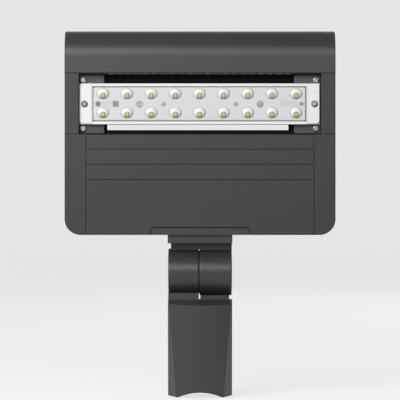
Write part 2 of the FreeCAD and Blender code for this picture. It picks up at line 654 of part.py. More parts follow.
module_middle = size.ModuleMiddle
module_half = slot_half - size.ModuleSideGap
module_z = slot_middle - size.ModuleDrop
module_low = module_z - size.ModuleHeight / 2
module_high = module_z + size.ModuleHeight / 2
module_back = bridge_front
module_mid = module_back - size.ModuleDepth
module_front = module_mid - size.ModuleRaise
raised_half = module_half - size.EndPlateLength - size.EndPlateGap
end_screw_x = module_half - size.EndScrewInset
end_screw_front = module_front - size.EndRingHeight
board_back = module_back - size.FrameFloor
board_front = board_back - size.BoardThickness
lens_half = module_half - size.EndPlateLength - size.LensMargin
lens_left = module_middle - lens_half
lens_right = module_middle + lens_half
lens_height = size.ModuleHeight - size.LensBorder * 2
lens_front = module_front - size.LensProud
lens_back = lens_front + size.LensThickness
lens_z = module_z + size.LensRaise
lens_pitch = (lens_half - size.LensEnd) * 2 / (size.LensColumns - 1)
first_lens = lens_left + size.LensEnd
lens_levels = (lens_z - size.LensRows / 2, lens_z + size.LensRows / 2)
lens_screw_x = lens_pitch * 2.5  # half a pitch off the columns, so between two lenses
peg_x = lens_pitch * 1.5
seal_length = (lens_half + size.LensSealWidth) * 2
seal_height = lens_height + size.LensSealWidth * 2
lead_x = lens_left + size.LeadInset
lead_holes = [size.LeadHole + size.LeadHoleStep * k for k in range(5)]

air_low = bay_top + size.AirSill
sink_front = lip_back + size.SinkLift
sink_back = sink_front + size.SinkPlate
pad_left = bridge_left_edge + size.SinkInset
pad_right = bridge_right_edge - size.SinkInset
sink_screw_levels = (module_z - size.SinkScrewLow, module_z + size.SinkScrewHigh)
sink_screw_edges = (lip_left - size.SinkScrewInset, lip_right + size.SinkScrewInset)
sink_screw_places = [(x, z) for x in sink_screw_edges for z in sink_screw_levels]

driver_left = -half + size.DriverInset
driver_right = driver_left + size.DriverLength
driver_low = head_low + size.DriverLow
driver_high = driver_low + size.DriverWidth
plate_front = back_inner - size.DriverPlate
driver_screw_x = (driver_left - size.DriverPlateLug / 2, driver_right + size.DriverPlateLug / 2)
driver_screw_z = (driver_low + size.DriverScrewInset, driver_high - size.DriverScrewInset)
driver_screw_places = [(x, z) for x in driver_screw_x for z in driver_screw_z]
terminal_left = half - size.TerminalInset
terminal_z = head_low + size.TerminalRise
terminal_front = back_inner - size.TerminalDepth
terminal_floor = back_inner - size.TerminalFloor
terminal_well_z = terminal_z + size.TerminalWellRise
terminal_x = [terminal_left + size.TerminalFirst + size.TerminalStep * k for k in range(3)]
bushing_x = -half + size.BushingInset
bushing_y = size.BushingY
vent_x = half - size.VentInset
catch_x = window - size.CatchInset


def head_outline(inset, top):
    """The driver housing's outline from the front, with its recess for the bracket."""
    side, low = half - inset, head_low + inset
    bend = size.CornerRadius - inset
    notch, notch_top = recess_half + inset, recess_top + inset
    return polygon(
        (-side, top),
        (-side, low + bend),
        (-side + bend, low),
        (-notch, low),
        (-notch, notch_top),
        (notch, notch_top),
        (notch, low),
        (side - bend, low),
        (side, low + bend),
        (side, top),
        arcs={1: (bend, True), 7: (bend, True)},
    )


# Head castings ------------------------------------------------------------------------------


def driver_housing():
    part = Piece("driver_housing")
    part.slab("XZ", bezel_back, back, head_outline(dim(0.0), bay_top))
    part.carve("XZ", bezel_back, back_inner, head_outline(size.Wall, bulkhead_under))
    for x, z in boss_places:
        part.slab("XZ", bezel_back, back_inner, disc(x, z, boss_radius))
        part.carve("XZ", bezel_back, bezel_back + size.BossHole, disc(x, z, size.ScrewRadius))
    for x, y in bracket_bolt_places:
        hole = disc(x, y, size.BracketBoltRadius + size.BracketBoltGap)
        part.carve("XY", recess_top, recess_top + size.Wall, hole)
    part.carve("XY", recess_top, recess_top + size.Wall, disc(neck_hole_x, 0, size.WireHoleRadius))
    part.carve("XY", bulkhead_under, bay_top, disc(bushing_x, bushing_y, size.BushingNeck))
    part.carve("XY", head_low, head_low + size.Wall, disc(vent_x, size.VentY, size.VentNeck))
    for x, y in rail_screw_places:
        part.carve("XY", bulkhead_under, bay_top, disc(x, y, size.ScrewRadius + size.ScrewGap))
    for x, z in driver_screw_places:
        part.carve("XZ", back_inner, back - size.DriverScrewFloor, disc(x, z, size.ScrewRadius))
    part.soften(size.BackEdgeRadius, lambda e: on_level(e, back) and outside_recess(e))
    return part


def on_level(edge, level):
    """Whether an edge lies flat at this place front to back."""
    box = edge.BoundBox
    return box.YLength < 1e-3 and abs(box.YMin - level.value) < 1e-3


def outside_recess(edge):
    """The outer edges of the head, not those of the bracket's recess or a hole."""
    box = edge.BoundBox
    wide = box.XMax > recess_half.value + 1 or box.XMin < -recess_half.value - 1
    return wide and edge.Length > 20


def outside_door(edge):
    """The outer edges of the side strips."""
    box = edge.BoundBox
    return abs(box.XMax + box.XMin) > 2 * strip.value + 2


def front_bezel():
    part = Piece("front_bezel")
    part.slab("XZ", face, bezel_back, head_outline(dim(0.0), bay_top))
    part.carve("XZ", face, bezel_plate, rectangle(-strip, strip, head_low - PAST, bay_top + PAST))
    part.carve("XZ", bezel_plate, bezel_back, rectangle(-window, window, window_low, window_high))
    for x in (-strip - pin_seat, strip):
        part.carve("YZ", x, x + pin_seat, disc(hinge_y, hinge_z, size.PinRadius + size.PinSeat))
    for x, z in boss_places:
        part.carve("XZ", bezel_plate, bezel_back, disc(x, z, size.ScrewRadius + size.ScrewGap))
    part.soften(size.EdgeRadius, lambda e: on_level(e, face) and outside_door(e))
    return part


def visor():
    part = Piece("visor")
    part.slab("YZ", -half, half, visor_profile(dim(0.0)))
    part.carve("YZ", -half + size.Wall, half - size.Wall, visor_profile(size.Wall))
    for x, z in visor_screw_places:
        part.carve("XZ", core - size.Wall, core, disc(x, z, size.ScrewRadius + size.ScrewGap))
    part.soften(size.EdgeRadius, at_visor_lip)
    return part


def at_visor_lip(edge):
    """The visor's long front edge over the light slot."""
    box = edge.BoundBox
    return along(edge, "x") and box.YMax < face.value and box.ZMax < slot_top.value + 1


def visor_profile(inset):
    front = face - size.VisorProud + inset
    bend_front = size.VisorCurve - inset
    rear = core - inset
    top = head_top - inset
    crown = front + bend_front
    bend_back = rear - crown
    return polygon(
        (front, slot_top),
        (rear, slot_top),
        (rear, top - bend_back),
        (crown, top),
        (front, top - bend_front),
        arcs={2: (bend_back, True), 3: (bend_front, True)},
    )


def visor_plate():
    part = Piece("visor_plate")
    side, rear = half - visor_plate_inset, core - visor_plate_inset
    plate = rectangle(-side, side, face - size.VisorProud + visor_plate_inset, rear)
    part.slab("XY", slot_top, visor_plate_top, plate)
    for x, z in visor_screw_places:
        part.carve("XZ", rear - size.VisorScrewDepth, rear, disc(x, z, size.ScrewRadius))
    for x, y in rail_screw_places:
        part.carve("XY", slot_top, visor_plate_top, disc(x, y, size.ScrewRadius + size.ScrewGap))
    return part


def side_rail(label, side, lip_edge):
    """An L with an inner lip; side is -1 on the left and 1 on the right."""
    part = Piece(label)
    low, high = bay_top + size.SeamGap / 2, slot_top - size.SeamGap / 2
    section = polygon(
        (half * side, face),
        (slot_half * side, face),
        (slot_half * side, lip_front),
        (lip_edge, lip_front),
        (lip_edge, lip_back),
        ((half - size.Wall) * side, lip_back),
        ((half - size.Wall) * side, core),
        (half * side, core),
    )
    part.slab("XY", low, high, section)
    for z in screw_levels:
        part.carve("XZ", lip_front, lip_back, disc(module_middle + screw_x * side, z, size.ScrewRadius))
    clear = size.EndScrewRadius + size.ScrewGap * 2
    part.carve("XZ", lip_front, lip_back, disc(module_middle + end_screw_x * side, module_z, clear))
    if side < 0:
        part.carve("XZ", lip_front, lip_back, disc(lead_x, module_z, lead_holes[3]))
    hole = disc(rail_screw_x * side, rail_screw_y, size.ScrewRadius)
    part.carve("XY", low, low + size.RailScrewDepth, hole)
    part.carve("XY", high - size.RailScrewDepth, high, hole)
    for z in sink_screw_levels:
        hole = disc(lip_edge + size.SinkScrewInset * side, z, size.SinkScrewRadius)
        part.carve("XZ", lip_back - size.SinkScrewDepth, lip_back, hole)
    part.soften(size.EdgeRadius, lambda e: along(e, "z") and e.BoundBox.YMax < face.value + 0.1)
    return part


def heat_sink():
    """A plate across the slot with the airflow window, a pad behind the module, and fins."""
    part = Piece("heat_sink")
    low, high = bay_top + size.SeamGap, slot_top - size.SinkEndGap
    left, right = lip_left - size.SinkOverlap, lip_right + size.SinkOverlap
    part.slab("XZ", sink_front, sink_back, rectangle(left, right, low, high))
    pad = rectangle(pad_left, pad_right, module_low + size.SinkShy, module_high - size.SinkShy)
    part.slab("XZ", module_back, sink_front, pad)
    air = rectangle(-slot_half + size.AirLeft, slot_half - size.AirRight, air_low, module_low)
    part.carve("XZ", sink_front, sink_back, air)
    part.carve("XZ", sink_front, sink_back, disc(lead_x, module_z, lead_holes[4]))
    fin_outline = rectangle(pad_left, pad_left + size.FinThickness, sink_back, sink_back + size.FinDepth)
    fin = part.slab("XY", module_low + size.FinSetback, high, fin_outline)
    step = (pad_right - pad_left - size.FinThickness) / (size.FinCount - 1)
    part.repeat(fin, fin.Profile[0], "H_Axis", size.FinCount, step)
    for x, z in sink_screw_places:
        part.carve("XZ", sink_front, sink_back, disc(x, z, size.SinkScrewRadius + size.ScrewGap))
    return part


def bridge(label, side, edge):
    """The dark plate that carries one end of the light module on the rail's lip."""
    part = Piece(label)
    outer = (slot_half - size.BridgeSideGap) * side
    low, high = (outer, edge) if side < 0 else (edge, outer)
    part.slab("XZ", bridge_front, lip_front, rectangle(low, high, bridge_low, bridge_high))
    for z in screw_levels:
        hole = disc(module_middle + screw_x * side, z, size.ScrewRadius + size.ScrewFit)
        part.carve("XZ", bridge_front, lip_front, hole)
    hole = disc(module_middle + end_screw_x * side, module_z, size.EndScrewRadius)
    part.carve("XZ", bridge_front, lip_front, hole)
    if side < 0:
        part.carve("XZ", bridge_front, lip_front, disc(lead_x, module_z, lead_holes[2]))
    return part


# Light module -------------------------------------------------------------------------------


def module_frame():
    part = Piece("module_frame")
    body = centred(module_middle, module_z, module_half * 2, size.ModuleHeight)
    part.slab("XZ", module_mid, module_back, body)
    raised = centred(module_middle, module_z, raised_half * 2, size.ModuleHeight)
    part.slab("XZ", module_front, module_mid, raised)
    pocket = centred(module_middle, module_z, seal_length, seal_height)
    part.carve("XZ", module_front, board_back, pocket)
    for side in (-1, 1):
        hole = disc(module_middle + end_screw_x * side, module_z, size.EndScrewRadius + size.ScrewFit)
        part.carve("XZ", module_mid, module_back, hole)
    part.carve("XZ", board_back, module_back, disc(lead_x, module_z, lead_holes[1]))
    at_front = module_front.value + 0.01
    part.soften(size.ModuleEdge, lambda e: along(e, "x") and e.BoundBox.YMax < at_front)
    return part


def end_plate(label, side):
    part = Piece(label)
    outer = module_middle + module_half * side
    inner = outer - size.EndPlateLength * side
    low, high = (outer, inner) if side < 0 else (inner, outer)
    plate = rectangle(low, high, module_low + size.EndPlateInset, module_high - size.EndPlateInset)
    part.slab("XZ", module_front, module_mid, plate)
    hole = disc(module_middle + end_screw_x * side, module_z, size.EndScrewRadius + size.ScrewFit)
    part.carve("XZ", module_front, module_mid, hole)
    part.soften(size.EndPlateCorner, lambda e: along(e, "y") and abs(e.BoundBox.XMin - outer.value) < 1e-3)
    part.soften(size.EndPlateEdge, lambda e: on_level(e, module_front) and e.Length > 12.0)
    return part


def led_board():
    part = Piece("led_board")
    length, height = (lens_half - size.BoardMargin) * 2, lens_height - size.BoardMargin * 2
    part.slab("XZ", board_front, board_back, centred(module_middle, module_z, length, height))
    part.carve("XZ", board_front, board_back, disc(lead_x, module_z, lead_holes[0]))
    return part


def led_chips():
    part = Piece("led_chips")
    for z in lens_levels:
        outline = centred(first_lens, z - size.ChipDrop, size.ChipSize, size.ChipSize)
        chip = part.slab("XZ", board_front - size.ChipHeight, board_front, outline)
        part.repeat(chip, chip.Profile[0], "H_Axis", size.LensColumns, lens_pitch)
    return part


def board_connectors():
    """Lead sockets at both ends of the board and a small sensor block."""
    part = Piece("board_connectors")
    near = lens_left + size.SocketInset
    sensor = near + size.SocketLength + size.SensorGap
    far = lens_right - size.FarSocketInset
    blocks = (
        (near, near + size.SocketLength, size.SocketHeight, size.SocketRise),
        (sensor, sensor + size.SensorLength, size.SensorHeight, size.SensorRise),
        (far - size.FarSocketLength, far, size.SocketHeight, size.SocketRise),
    )
    for left, right, tall, rise in blocks:
        block = rectangle(left, right, module_z - tall / 2, module_z + tall / 2)
        part.slab("XZ", board_front - rise, board_front, block)
    return part


def lens_plate():
    part = Piece("lens_plate")
    sheet = centred(module_middle, module_z, lens_half * 2, lens_height)
    part.slab("XZ", lens_front, board_back, sheet)
    hollow = centred(module_middle, module_z, (lens_half - size.LensRim) * 2, lens_height - size.LensRim * 2)
    part.carve("XZ", lens_back, board_back, hollow)
    for z in lens_levels:
        outline = oval(first_lens, z, size.DomeLong, size.DomeShort)
        dome = part.slab("XZ", lens_front - size.DomeRise, lens_front, outline)
        part.repeat(dome, dome.Profile[0], "H_Axis", size.LensColumns, lens_pitch)
    for side in (-1, 1):
        peg = disc(module_middle + peg_x * side, module_z, size.PegRadius)
        part.slab("XZ", lens_front - size.PegRise, lens_front, peg)
        hole = disc(module_middle + lens_screw_x * side, module_z, size.LensScrewRadius + size.ScrewGap)
        part.carve("XZ", lens_front, lens_back, hole)
    part.soften(size.DomeRise - size.DomeEdge, lambda e: on_level(e, lens_front - size.DomeRise))
    return part


def lens_gasket():
    part = Piece("lens_gasket")
    play = size.LensSealGap * 2
    outer = centred(module_middle, module_z, seal_length - play, seal_height - play)
    inner = centred(module_middle, module_z, lens_half * 2 + play, lens_height + play)
    part.slab("XZ", module_front + size.LensSealSink, board_back, outer)
    part.carve("XZ", module_front + size.LensSealSink, board_back, inner)
    return part


def screw_group(label, places, front, head_radius, head_height, shank_radius, shank_end, cross):
    """Round-headed screws along Y with a cross recess, heads towards the lit face."""
    part = Piece(label)
    for x, z in places:
        part.slab("XZ", front - head_height, front, disc(x, z, head_radius))
        part.slab("XZ", front, shank_end, disc(x, z, shank_radius))
    narrow = cross * size.CrossWidth
    top = front - head_height
    for x, z in places:
        for long, tall in ((cross, narrow), (narrow, cross)):
            part.carve("XZ", top, top + head_height * size.CrossDepth, centred(x, z, long, tall))
    part.soften(head_height * size.HeadRound, lambda e: on_level(e, top) and is_circle(e, head_radius))
    return part


def is_circle(edge, radius):
    return abs(edge.BoundBox.XLength - 2 * radius.value) < 1e-3


def end_screw_rings():
    part = Piece("end_screw_rings")
    for side in (-1, 1):
        x = module_middle + end_screw_x * side
        part.slab("XZ", end_screw_front, module_front, disc(x, module_z, size.EndRingRadius))
        hole = disc(x, module_z, size.EndScrewRadius + size.ScrewFit)
        part.carve("XZ", end_screw_front, module_front, hole)
    return part


# Driver door ---------------------------------------------------------------------------------


def driver_door():
    part = Piece("driver_door")
    side = strip - size.DoorGap
    inner = face + size.DoorThickness
    notch_top = flange_top + size.FlangeGap
    panel = polygon(
        (-side, head_low),
        (-recess_half, head_low),
        (-recess_half, notch_top),
        (recess_half, notch_top),
        (recess_half, head_low),
        (side, head_low),
        (side, hinge_z),
        (-side, hinge_z),
    )
    part.slab("XZ", face, inner, panel)
    part.slab("YZ", -side, side, disc(hinge_y, hinge_z, size.DoorBead))
    rim_side = window - size.DoorRimInset
    rim_low, rim_high = window_low + size.DoorRimInset, window_high - size.DoorRimInset
    wall = size.DoorRimWall
    part.slab("XZ", inner, inner + size.DoorRimDepth, rectangle(-rim_side, rim_side, rim_low, rim_high))
    hollow = rectangle(-rim_side + wall, rim_side - wall, rim_low + wall, rim_high - wall)
    part.carve("XZ", inner, inner + size.DoorRimDepth, hollow)
    groove_z = bay_top - size.GrooveFirst
    groove = rectangle(-side, side, groove_z - size.GrooveWidth / 2, groove_z + size.GrooveWidth / 2)
    cut = part.carve("XZ", face, face + size.GrooveDepth, groove)
    part.repeat(cut, cut.Profile[0], "V_Axis", size.GrooveCount, size.GrooveStep).Reversed = True
    deep = pin_seat + size.DoorGap
    for x in (-side, side - deep):
        part.carve("YZ", x, x + deep, disc(hinge_y, hinge_z, size.PinRadius + size.PinFit))
    return part


def door_gasket():
    part = Piece("door_gasket")
    inset = size.DoorSealInset
    wide = inset + size.DoorSealWidth
    front = face + size.DoorThickness + size.DoorSealGap
    inner = rectangle(-window - inset, window + inset, window_low - inset, window_high + inset)
    outer = rectangle(-window - wide, window + wide, window_low - wide, window_high + wide)
    part.slab("XZ", front, bezel_plate, outer)
    part.carve("XZ", front, bezel_plate, inner)
    return part


def door_hinge_pins():
    part = Piece("door_hinge_pins")
    for x in (-strip - pin_seat + size.PinEnd, strip - pin_seat - size.PinEnd):
        part.slab("YZ", x, x + size.PinLength, disc(hinge_y, hinge_z, size.PinRadius))
    return part


def door_catches():
    """Spring strips behind the bezel's rear ledge, beside the door's rim."""
    part = Piece("door_catches")
    low, high = window_low - size.CatchLength, window_low + size.DoorRimInset - size.CatchGap
    for x in (-catch_x, catch_x):
        leg = rectangle(x - size.CatchWidth / 2, x + size.CatchWidth / 2, low, high)
        part.slab("XZ", bezel_back, bezel_back + size.CatchThickness, leg)
    return part


# Inside the driver bay ------------------------------------------------------------------------


def driver_plate():
    part = Piece("driver_plate")
    low, high = driver_low - size.DriverPlateMargin, driver_high + size.DriverPlateMargin
    left, right = driver_left - size.DriverPlateLug, driver_right + size.DriverPlateLug
    part.slab("XZ", plate_front, back_inner, rectangle(left, right, low, high))
    for x, z in driver_screw_places:
        part.carve("XZ", plate_front, back_inner, disc(x, z, size.ScrewRadius + size.ScrewGap))
    return part


def driver():
    part = Piece("driver")
    can = rectangle(driver_left, driver_right, driver_low, driver_high)
    part.slab("XZ", plate_front - size.DriverDepth, plate_front, can)
    at_front = plate_front.value - size.DriverDepth.value + 0.01
    part.soften(size.DriverEdge, lambda e: along(e, "x") and e.BoundBox.YMax < at_front)
    return part


def surge_protector():
    part = Piece("surge_protector")
    left = driver_right + size.SurgeGap
    right = left + size.SurgeLength
    low = head_low + size.SurgeLow
    high = low + size.SurgeHeight
    can = rectangle(left, right, low + size.SurgeLug, high - size.SurgeLug)
    part.slab("XZ", back_inner - size.SurgeDepth, back_inner, can)
    part.slab("XZ", back_inner - size.SurgeFoot, back_inner, rectangle(left, right, low, high))
    part.soften(size.SurgeCorner, lambda e: along(e, "y") and e.Length > 2 * size.SurgeFoot.value)
    return part


def terminal_block():
    part = Piece("terminal_block")
    middle = terminal_left + size.TerminalLength / 2
    block = centred(middle, terminal_z, size.TerminalLength, size.TerminalHeight)
    part.slab("XZ", terminal_front, back_inner, block)
    for x in terminal_x:
        part.carve("XZ", terminal_front, terminal_floor, disc(x, terminal_well_z, size.TerminalWell))
    return part


def terminal_screws():
    part = Piece("terminal_screws")
    radius = size.TerminalWell - size.TerminalScrewGap
    top = terminal_floor - size.TerminalScrewHeight
    slot = (radius - size.TerminalSlotEnd) * 2
    for x in terminal_x:
        part.slab("XZ", top, terminal_floor, disc(x, terminal_well_z, radius))
        outline = centred(x, terminal_well_z, slot, size.TerminalSlotWidth)
        part.carve("XZ", top, top + size.TerminalSlotDepth, outline)
    return part


def wire_bushing():
    part = Piece("wire_bushing")
    low, high = bulkhead_under - size.BushingRimHeight, bay_top + size.BushingRimHeight
    rim = disc(bushing_x, bushing_y, size.BushingNeck + size.BushingRim)
    part.slab("XY", low, bulkhead_under, rim)
    part.slab("XY", bulkhead_under, bay_top, disc(bushing_x, bushing_y, size.BushingNeck - size.SoftFit))
    part.slab("XY", bay_top, high, rim)
    part.carve("XY", low, high, disc(bushing_x, bushing_y, size.BushingBore))
    return part


def breather_vent():
    part = Piece("breather_vent")
    low, seat = head_low + size.VentSink, head_low + size.Wall
    part.slab("XY", low, seat, disc(vent_x, size.VentY, size.VentNeck - size.SoftFit))
    part.slab("XY", seat, seat + size.VentHexHeight, hexagon(vent_x, size.VentY, size.VentHex))
    ring = size.VentHoleRing
    for x, y in ((ring, dim(0.0)), (dim(0.0), ring), (-ring, dim(0.0)), (dim(0.0), -ring)):
        part.carve("XY", low, low + size.VentHoleDepth, disc(vent_x + x, size.VentY + y, size.VentHole))
    return part


def upright_screws(label, places, seat, across, head_height, shank_radius, shank_end):
    """Hexagon-headed screws along Z; the shank runs from the seat to shank_end."""
    part = Piece(label)
    for x, y in places:
        if seat.value > shank_end.value:
            part.slab("XY", seat, seat + head_height, hexagon(x, y, across))
            part.slab("XY", shank_end, seat, disc(x, y, shank_radius))
        else:
            part.slab("XY", seat - head_height, seat, hexagon(x, y, across))
            part.slab("XY", seat, shank_end, disc(x, y, shank_radius))
    return part


def back_screws(label, places, seat, head_radius, head_height, shank_radius, shank_end):
    """Round-headed screws along Y with a key socket, heads towards the back."""
    part = Piece(label)
    top = seat + head_height
    for x, z in places:
        part.slab("XZ", seat, top, disc(x, z, head_radius))
        part.slab("XZ", shank_end, seat, disc(x, z, shank_radius))
        part.carve("XZ", top - size.KeySocket, top, hexagon(x, z, head_radius))
    return part


# Knuckle and arm ------------------------------------------------------------------------------


def knuckle_bracket():
    """Flange, neck plate, web and the right barrel, which turns against the arm's."""
    part = Piece("knuckle_bracket")
    middle = dim(0.0)
    part.slab("XY", head_low, flange_top, centred(middle, middle, size.FlangeWidth, size.FlangeDepth))
    plate_width = size.KnuckleWidth + size.PlateProud * 2
    part.slab("XY", plate_low, head_low, centred(middle, middle, plate_width, size.PlateDepth))
    side = size.WebDepth / 2
    part.slab("YZ", knuckle_left + size.CradleInset, knuckle_right, rectangle(-side, side, pivot, plate_low))
    lip_side = side + size.WebLip
    lip = rectangle(-lip_side, lip_side, pivot, pivot + size.BarrelRadius + size.WebLipRise)
    part.slab("YZ", knuckle_left + size.CradleInset, arm_face - size.CradleEnd, lip)
    part.carve("YZ", knuckle_left, head_face, disc(0, pivot, swept))
    part.slab("YZ", head_face, knuckle_right, disc(0, pivot, size.BarrelRadius))
    part.carve("YZ", head_face, head_face + size.ChamberDepth, disc(0, pivot, size.ChamberRadius))
    part.carve("YZ", head_face, knuckle_right, disc(0, pivot, size.BoltRadius + size.BoltFit))
    part.carve("YZ", washer_seat, knuckle_right, disc(0, pivot, cap_radius))
    crest = head_face + size.ToothSetback
    part.carve("YZ", head_face, crest, disc(0, pivot, tooth_ring))
    teeth(part, crest, crest + size.ToothDepth)
    reach = head_face - size.BarrelGap - size.RegisterReach
    part.slab("YZ", reach, head_face, disc(0, pivot, register_outer), disc(0, pivot, register_inner))
    part.carve("XY", pivot, flange_top, disc(neck_hole_x, 0, size.WireHoleRadius))
    for x, y in bracket_bolt_places:
        part.carve("XY", head_low + size.BracketBoltFloor, flange_top, disc(x, y, size.BracketBoltRadius))
    part.soften(size.EdgeRadius, at_plate_edge)
    part.soften(size.BarrelRim, lambda e: is_barrel_rim(e, (head_face, knuckle_right)))
    return part


def at_plate_edge(edge):
    """The neck plate's long lower edges."""
    return along(edge, "x") and abs(edge.BoundBox.ZMax - plate_low.value) < 1e-3 and on_plate_side(edge)


def on_plate_side(edge):
    return abs(abs(edge.BoundBox.YMax) - size.PlateDepth.value / 2) < 1e-3


def is_barrel_rim(edge, faces):
    box = edge.BoundBox
    if box.XLength > 1e-3 or not hasattr(edge.Curve, "Radius"):
        return False
    on_face = any(abs(box.XMin - f.value) < 1e-3 for f in faces)
    return on_face and abs(edge.Curve.Radius - size.BarrelRadius.value) < 1e-3


def teeth(part, low, high):
    """Radial grooves between the teeth, all round the pivot."""
    spread = math.tan(math.radians(90.0) / size.ToothCount.value)
    near, far = tooth_inner, tooth_outer
    groove = polygon(
        (near * -spread, near),
        (near * spread, near),
        (far * spread, far),
        (far * -spread, far),
    )
    cut = part.carve("YZ", low, high, groove, origin=(0.0, pivot))
    part.turn(cut, cut.Profile[0], size.ToothCount)


def arm_section(face_half, flank_half):
    """A cross-section of the arm: crowned front and back, straight flanks, slanted corners."""
    rise = root(size.DomeRadius * size.DomeRadius - face_half * face_half)
    crown = arm_back - size.DomeRadius + rise
    return polygon(
        (-face_half, -crown),
        (face_half, -crown),
        (arm_side, -flank_half),
        (arm_side, flank_half),
        (face_half, crown),
        (-face_half, crown),
        (-arm_side, flank_half),
        (-arm_side, -flank_half),
        arcs={0: (size.DomeRadius, True), 4: (size.DomeRadius, True)},
    )


def arm():
    """The slipfitter: tapered body over the tenon, shoulders, pad, web and the left barrel."""
    part = Piece("arm")
    at_mouth = arm_section(arm_side - size.FaceInsetMouth, arm_back - size.FlankInsetMouth)
    at_top = arm_section(arm_side - size.FaceInsetTop, arm_back - size.FlankInsetTop)
    lower = part.sketch("XY", -size.SaddleRise, [at_mouth])
    part.loft(lower, part.sketch("XY", size.ArmHeight, [at_top]))
    slope = size.ShoulderDrop / size.ShoulderRun
    for side in (-1, 1):
        wedge = polygon(
            (arm_back * side, size.ArmHeight - size.ShoulderDrop),
            ((arm_back - size.ShoulderRun) * side, size.ArmHeight),
            ((arm_back + PAST) * side, size.ArmHeight),
            ((arm_back + PAST) * side, size.ArmHeight - size.ShoulderDrop - slope * PAST),
        )
        part.carve("YZ", -arm_side - PAST, arm_side + PAST, wedge)
    pad_side = size.CradleDepth / 2
    pad_top = pivot - size.BarrelRadius + size.CradleRise
    pad = rectangle(-pad_side, pad_side, size.ArmHeight - PAST, pad_top)
    part.slab("YZ", head_face + size.CradleEnd, knuckle_right - size.CradleInset, pad)
    part.carve("YZ", head_face, knuckle_right, disc(0, pivot, swept))
    web_side = size.KnuckleWebDepth / 2
    web = rectangle(-web_side, web_side, size.ArmHeight - PAST, pivot)
    part.slab("YZ", knuckle_left, arm_face, web)
    part.slab("YZ", knuckle_left, arm_face, disc(0, pivot, size.BarrelRadius))
    part.carve("YZ", arm_face - size.ChamberDepth, arm_face, disc(0, pivot, size.ChamberRadius))
    part.carve("YZ", knuckle_left, arm_face, disc(0, pivot, size.BoltRadius + size.BoltSlack))
    part.carve("YZ", knuckle_left, nut_seat, hexagon(0, pivot, size.HexAcross + size.HexGap))
    crest = arm_face - size.ToothSetback
    part.carve("YZ", crest, arm_face, disc(0, pivot, tooth_ring))
    teeth(part, crest - size.ToothDepth, crest)
    groove_outer = disc(0, pivot, register_outer + size.RegisterGap)
    groove_inner = disc(0, pivot, register_inner - size.RegisterGap)
    part.carve("YZ", arm_face - size.RegisterReach - size.RegisterGap, arm_face, groove_outer, groove_inner)
    part.carve("XY", -size.SaddleRise - PAST, size.TenonBoreDepth, disc(0, 0, size.TenonBoreRadius))
    part.carve("XY", size.TenonBoreDepth - PAST, pivot, disc(arm_hole_x, 0, size.WireHoleRadius))
    mouth(part)
    for z in set_screw_levels:
        part.carve("XZ", 0, arm_back, disc(0, z, size.SetScrewRadius))
    part.soften(size.BarrelRim, lambda e: is_barrel_rim(e, (arm_face, knuckle_left)))
    return part


def mouth(part):
    """The hollow across the mouth and its sloped corners."""
    rise, radius = size.SaddleRise, size.SaddleRadius
    reach = root(radius * radius - (radius - rise) * (radius - rise))
    part.carve("XZ", -size.ArmDepth, size.ArmDepth, disc(0, -radius, radius))
    for turn in (-1, 1):
        past = (arm_side + PAST) * turn
        corner = polygon((reach * turn, -rise), (past, -rise - PAST), (past, size.MouthCornerRise - rise))
        part.carve("XZ", -size.ArmDepth, size.ArmDepth, corner)


def pivot_bolt():
    part = Piece("pivot_bolt")
    part.slab("YZ", bolt_seat, bolt_seat + size.BoltHeadHeight, hexagon(0, pivot, size.HexAcross))
    end = nut_seat - size.NutHeight - size.BoltTail
    part.slab("YZ", end, bolt_seat, disc(0, pivot, size.BoltRadius))
    return part


def pivot_nut():
    part = Piece("pivot_nut")
    part.slab("YZ", nut_seat - size.NutHeight, nut_seat, hexagon(0, pivot, size.HexAcross))
    part.carve("YZ", nut_seat - size.NutHeight, nut_seat, disc(0, pivot, size.BoltRadius + size.NutFit))
    return part


def pivot_washer():
    part = Piece("pivot_washer")
    top = bolt_seat - size.NutFit
    part.slab("YZ", washer_seat, top, disc(0, pivot, size.WasherRadius))
    part.carve("YZ", washer_seat, top, disc(0, pivot, size.BoltRadius + size.BoltFit))
    return part


def pivot_cap():
    part = Piece("pivot_cap")
    part.slab("YZ", knuckle_right - size.CapThickness, knuckle_right, disc(0, pivot, cap_radius - size.NutFit))
    return part


def tenon_set_screws():
    part = Piece("tenon_set_screws")
    end = arm_back + size.SetScrewProud
    for z in set_screw_levels:
        shank = disc(0, z, size.SetScrewRadius - size.SetScrewFit)
        part.slab("XZ", size.TenonBoreRadius + size.SetScrewTip, end, shank)
        part.carve("XZ", end - size.SetScrewSocket, end, hexagon(0, z, size.SetScrewKey))
    return part


def bracket_gasket():
    part = Piece("bracket_gasket")
    side = size.FlangeWidth / 2 - size.GasketInset
    front, rear = bezel_back + size.GasketMargin, back - size.GasketMargin
    part.slab("XY", flange_top, recess_top, rectangle(-side, side, front, rear))
    part.carve("XY", flange_top, recess_top, disc(neck_hole_x, 0, size.WireHoleRadius))
    for x, y in bracket_bolt_places:
        hole = disc(x, y, size.BracketBoltRadius + size.BracketBoltGap)
        part.carve("XY", flange_top, recess_top, hole)
    return part


# Leads ----------------------------------------------------------------------------------------


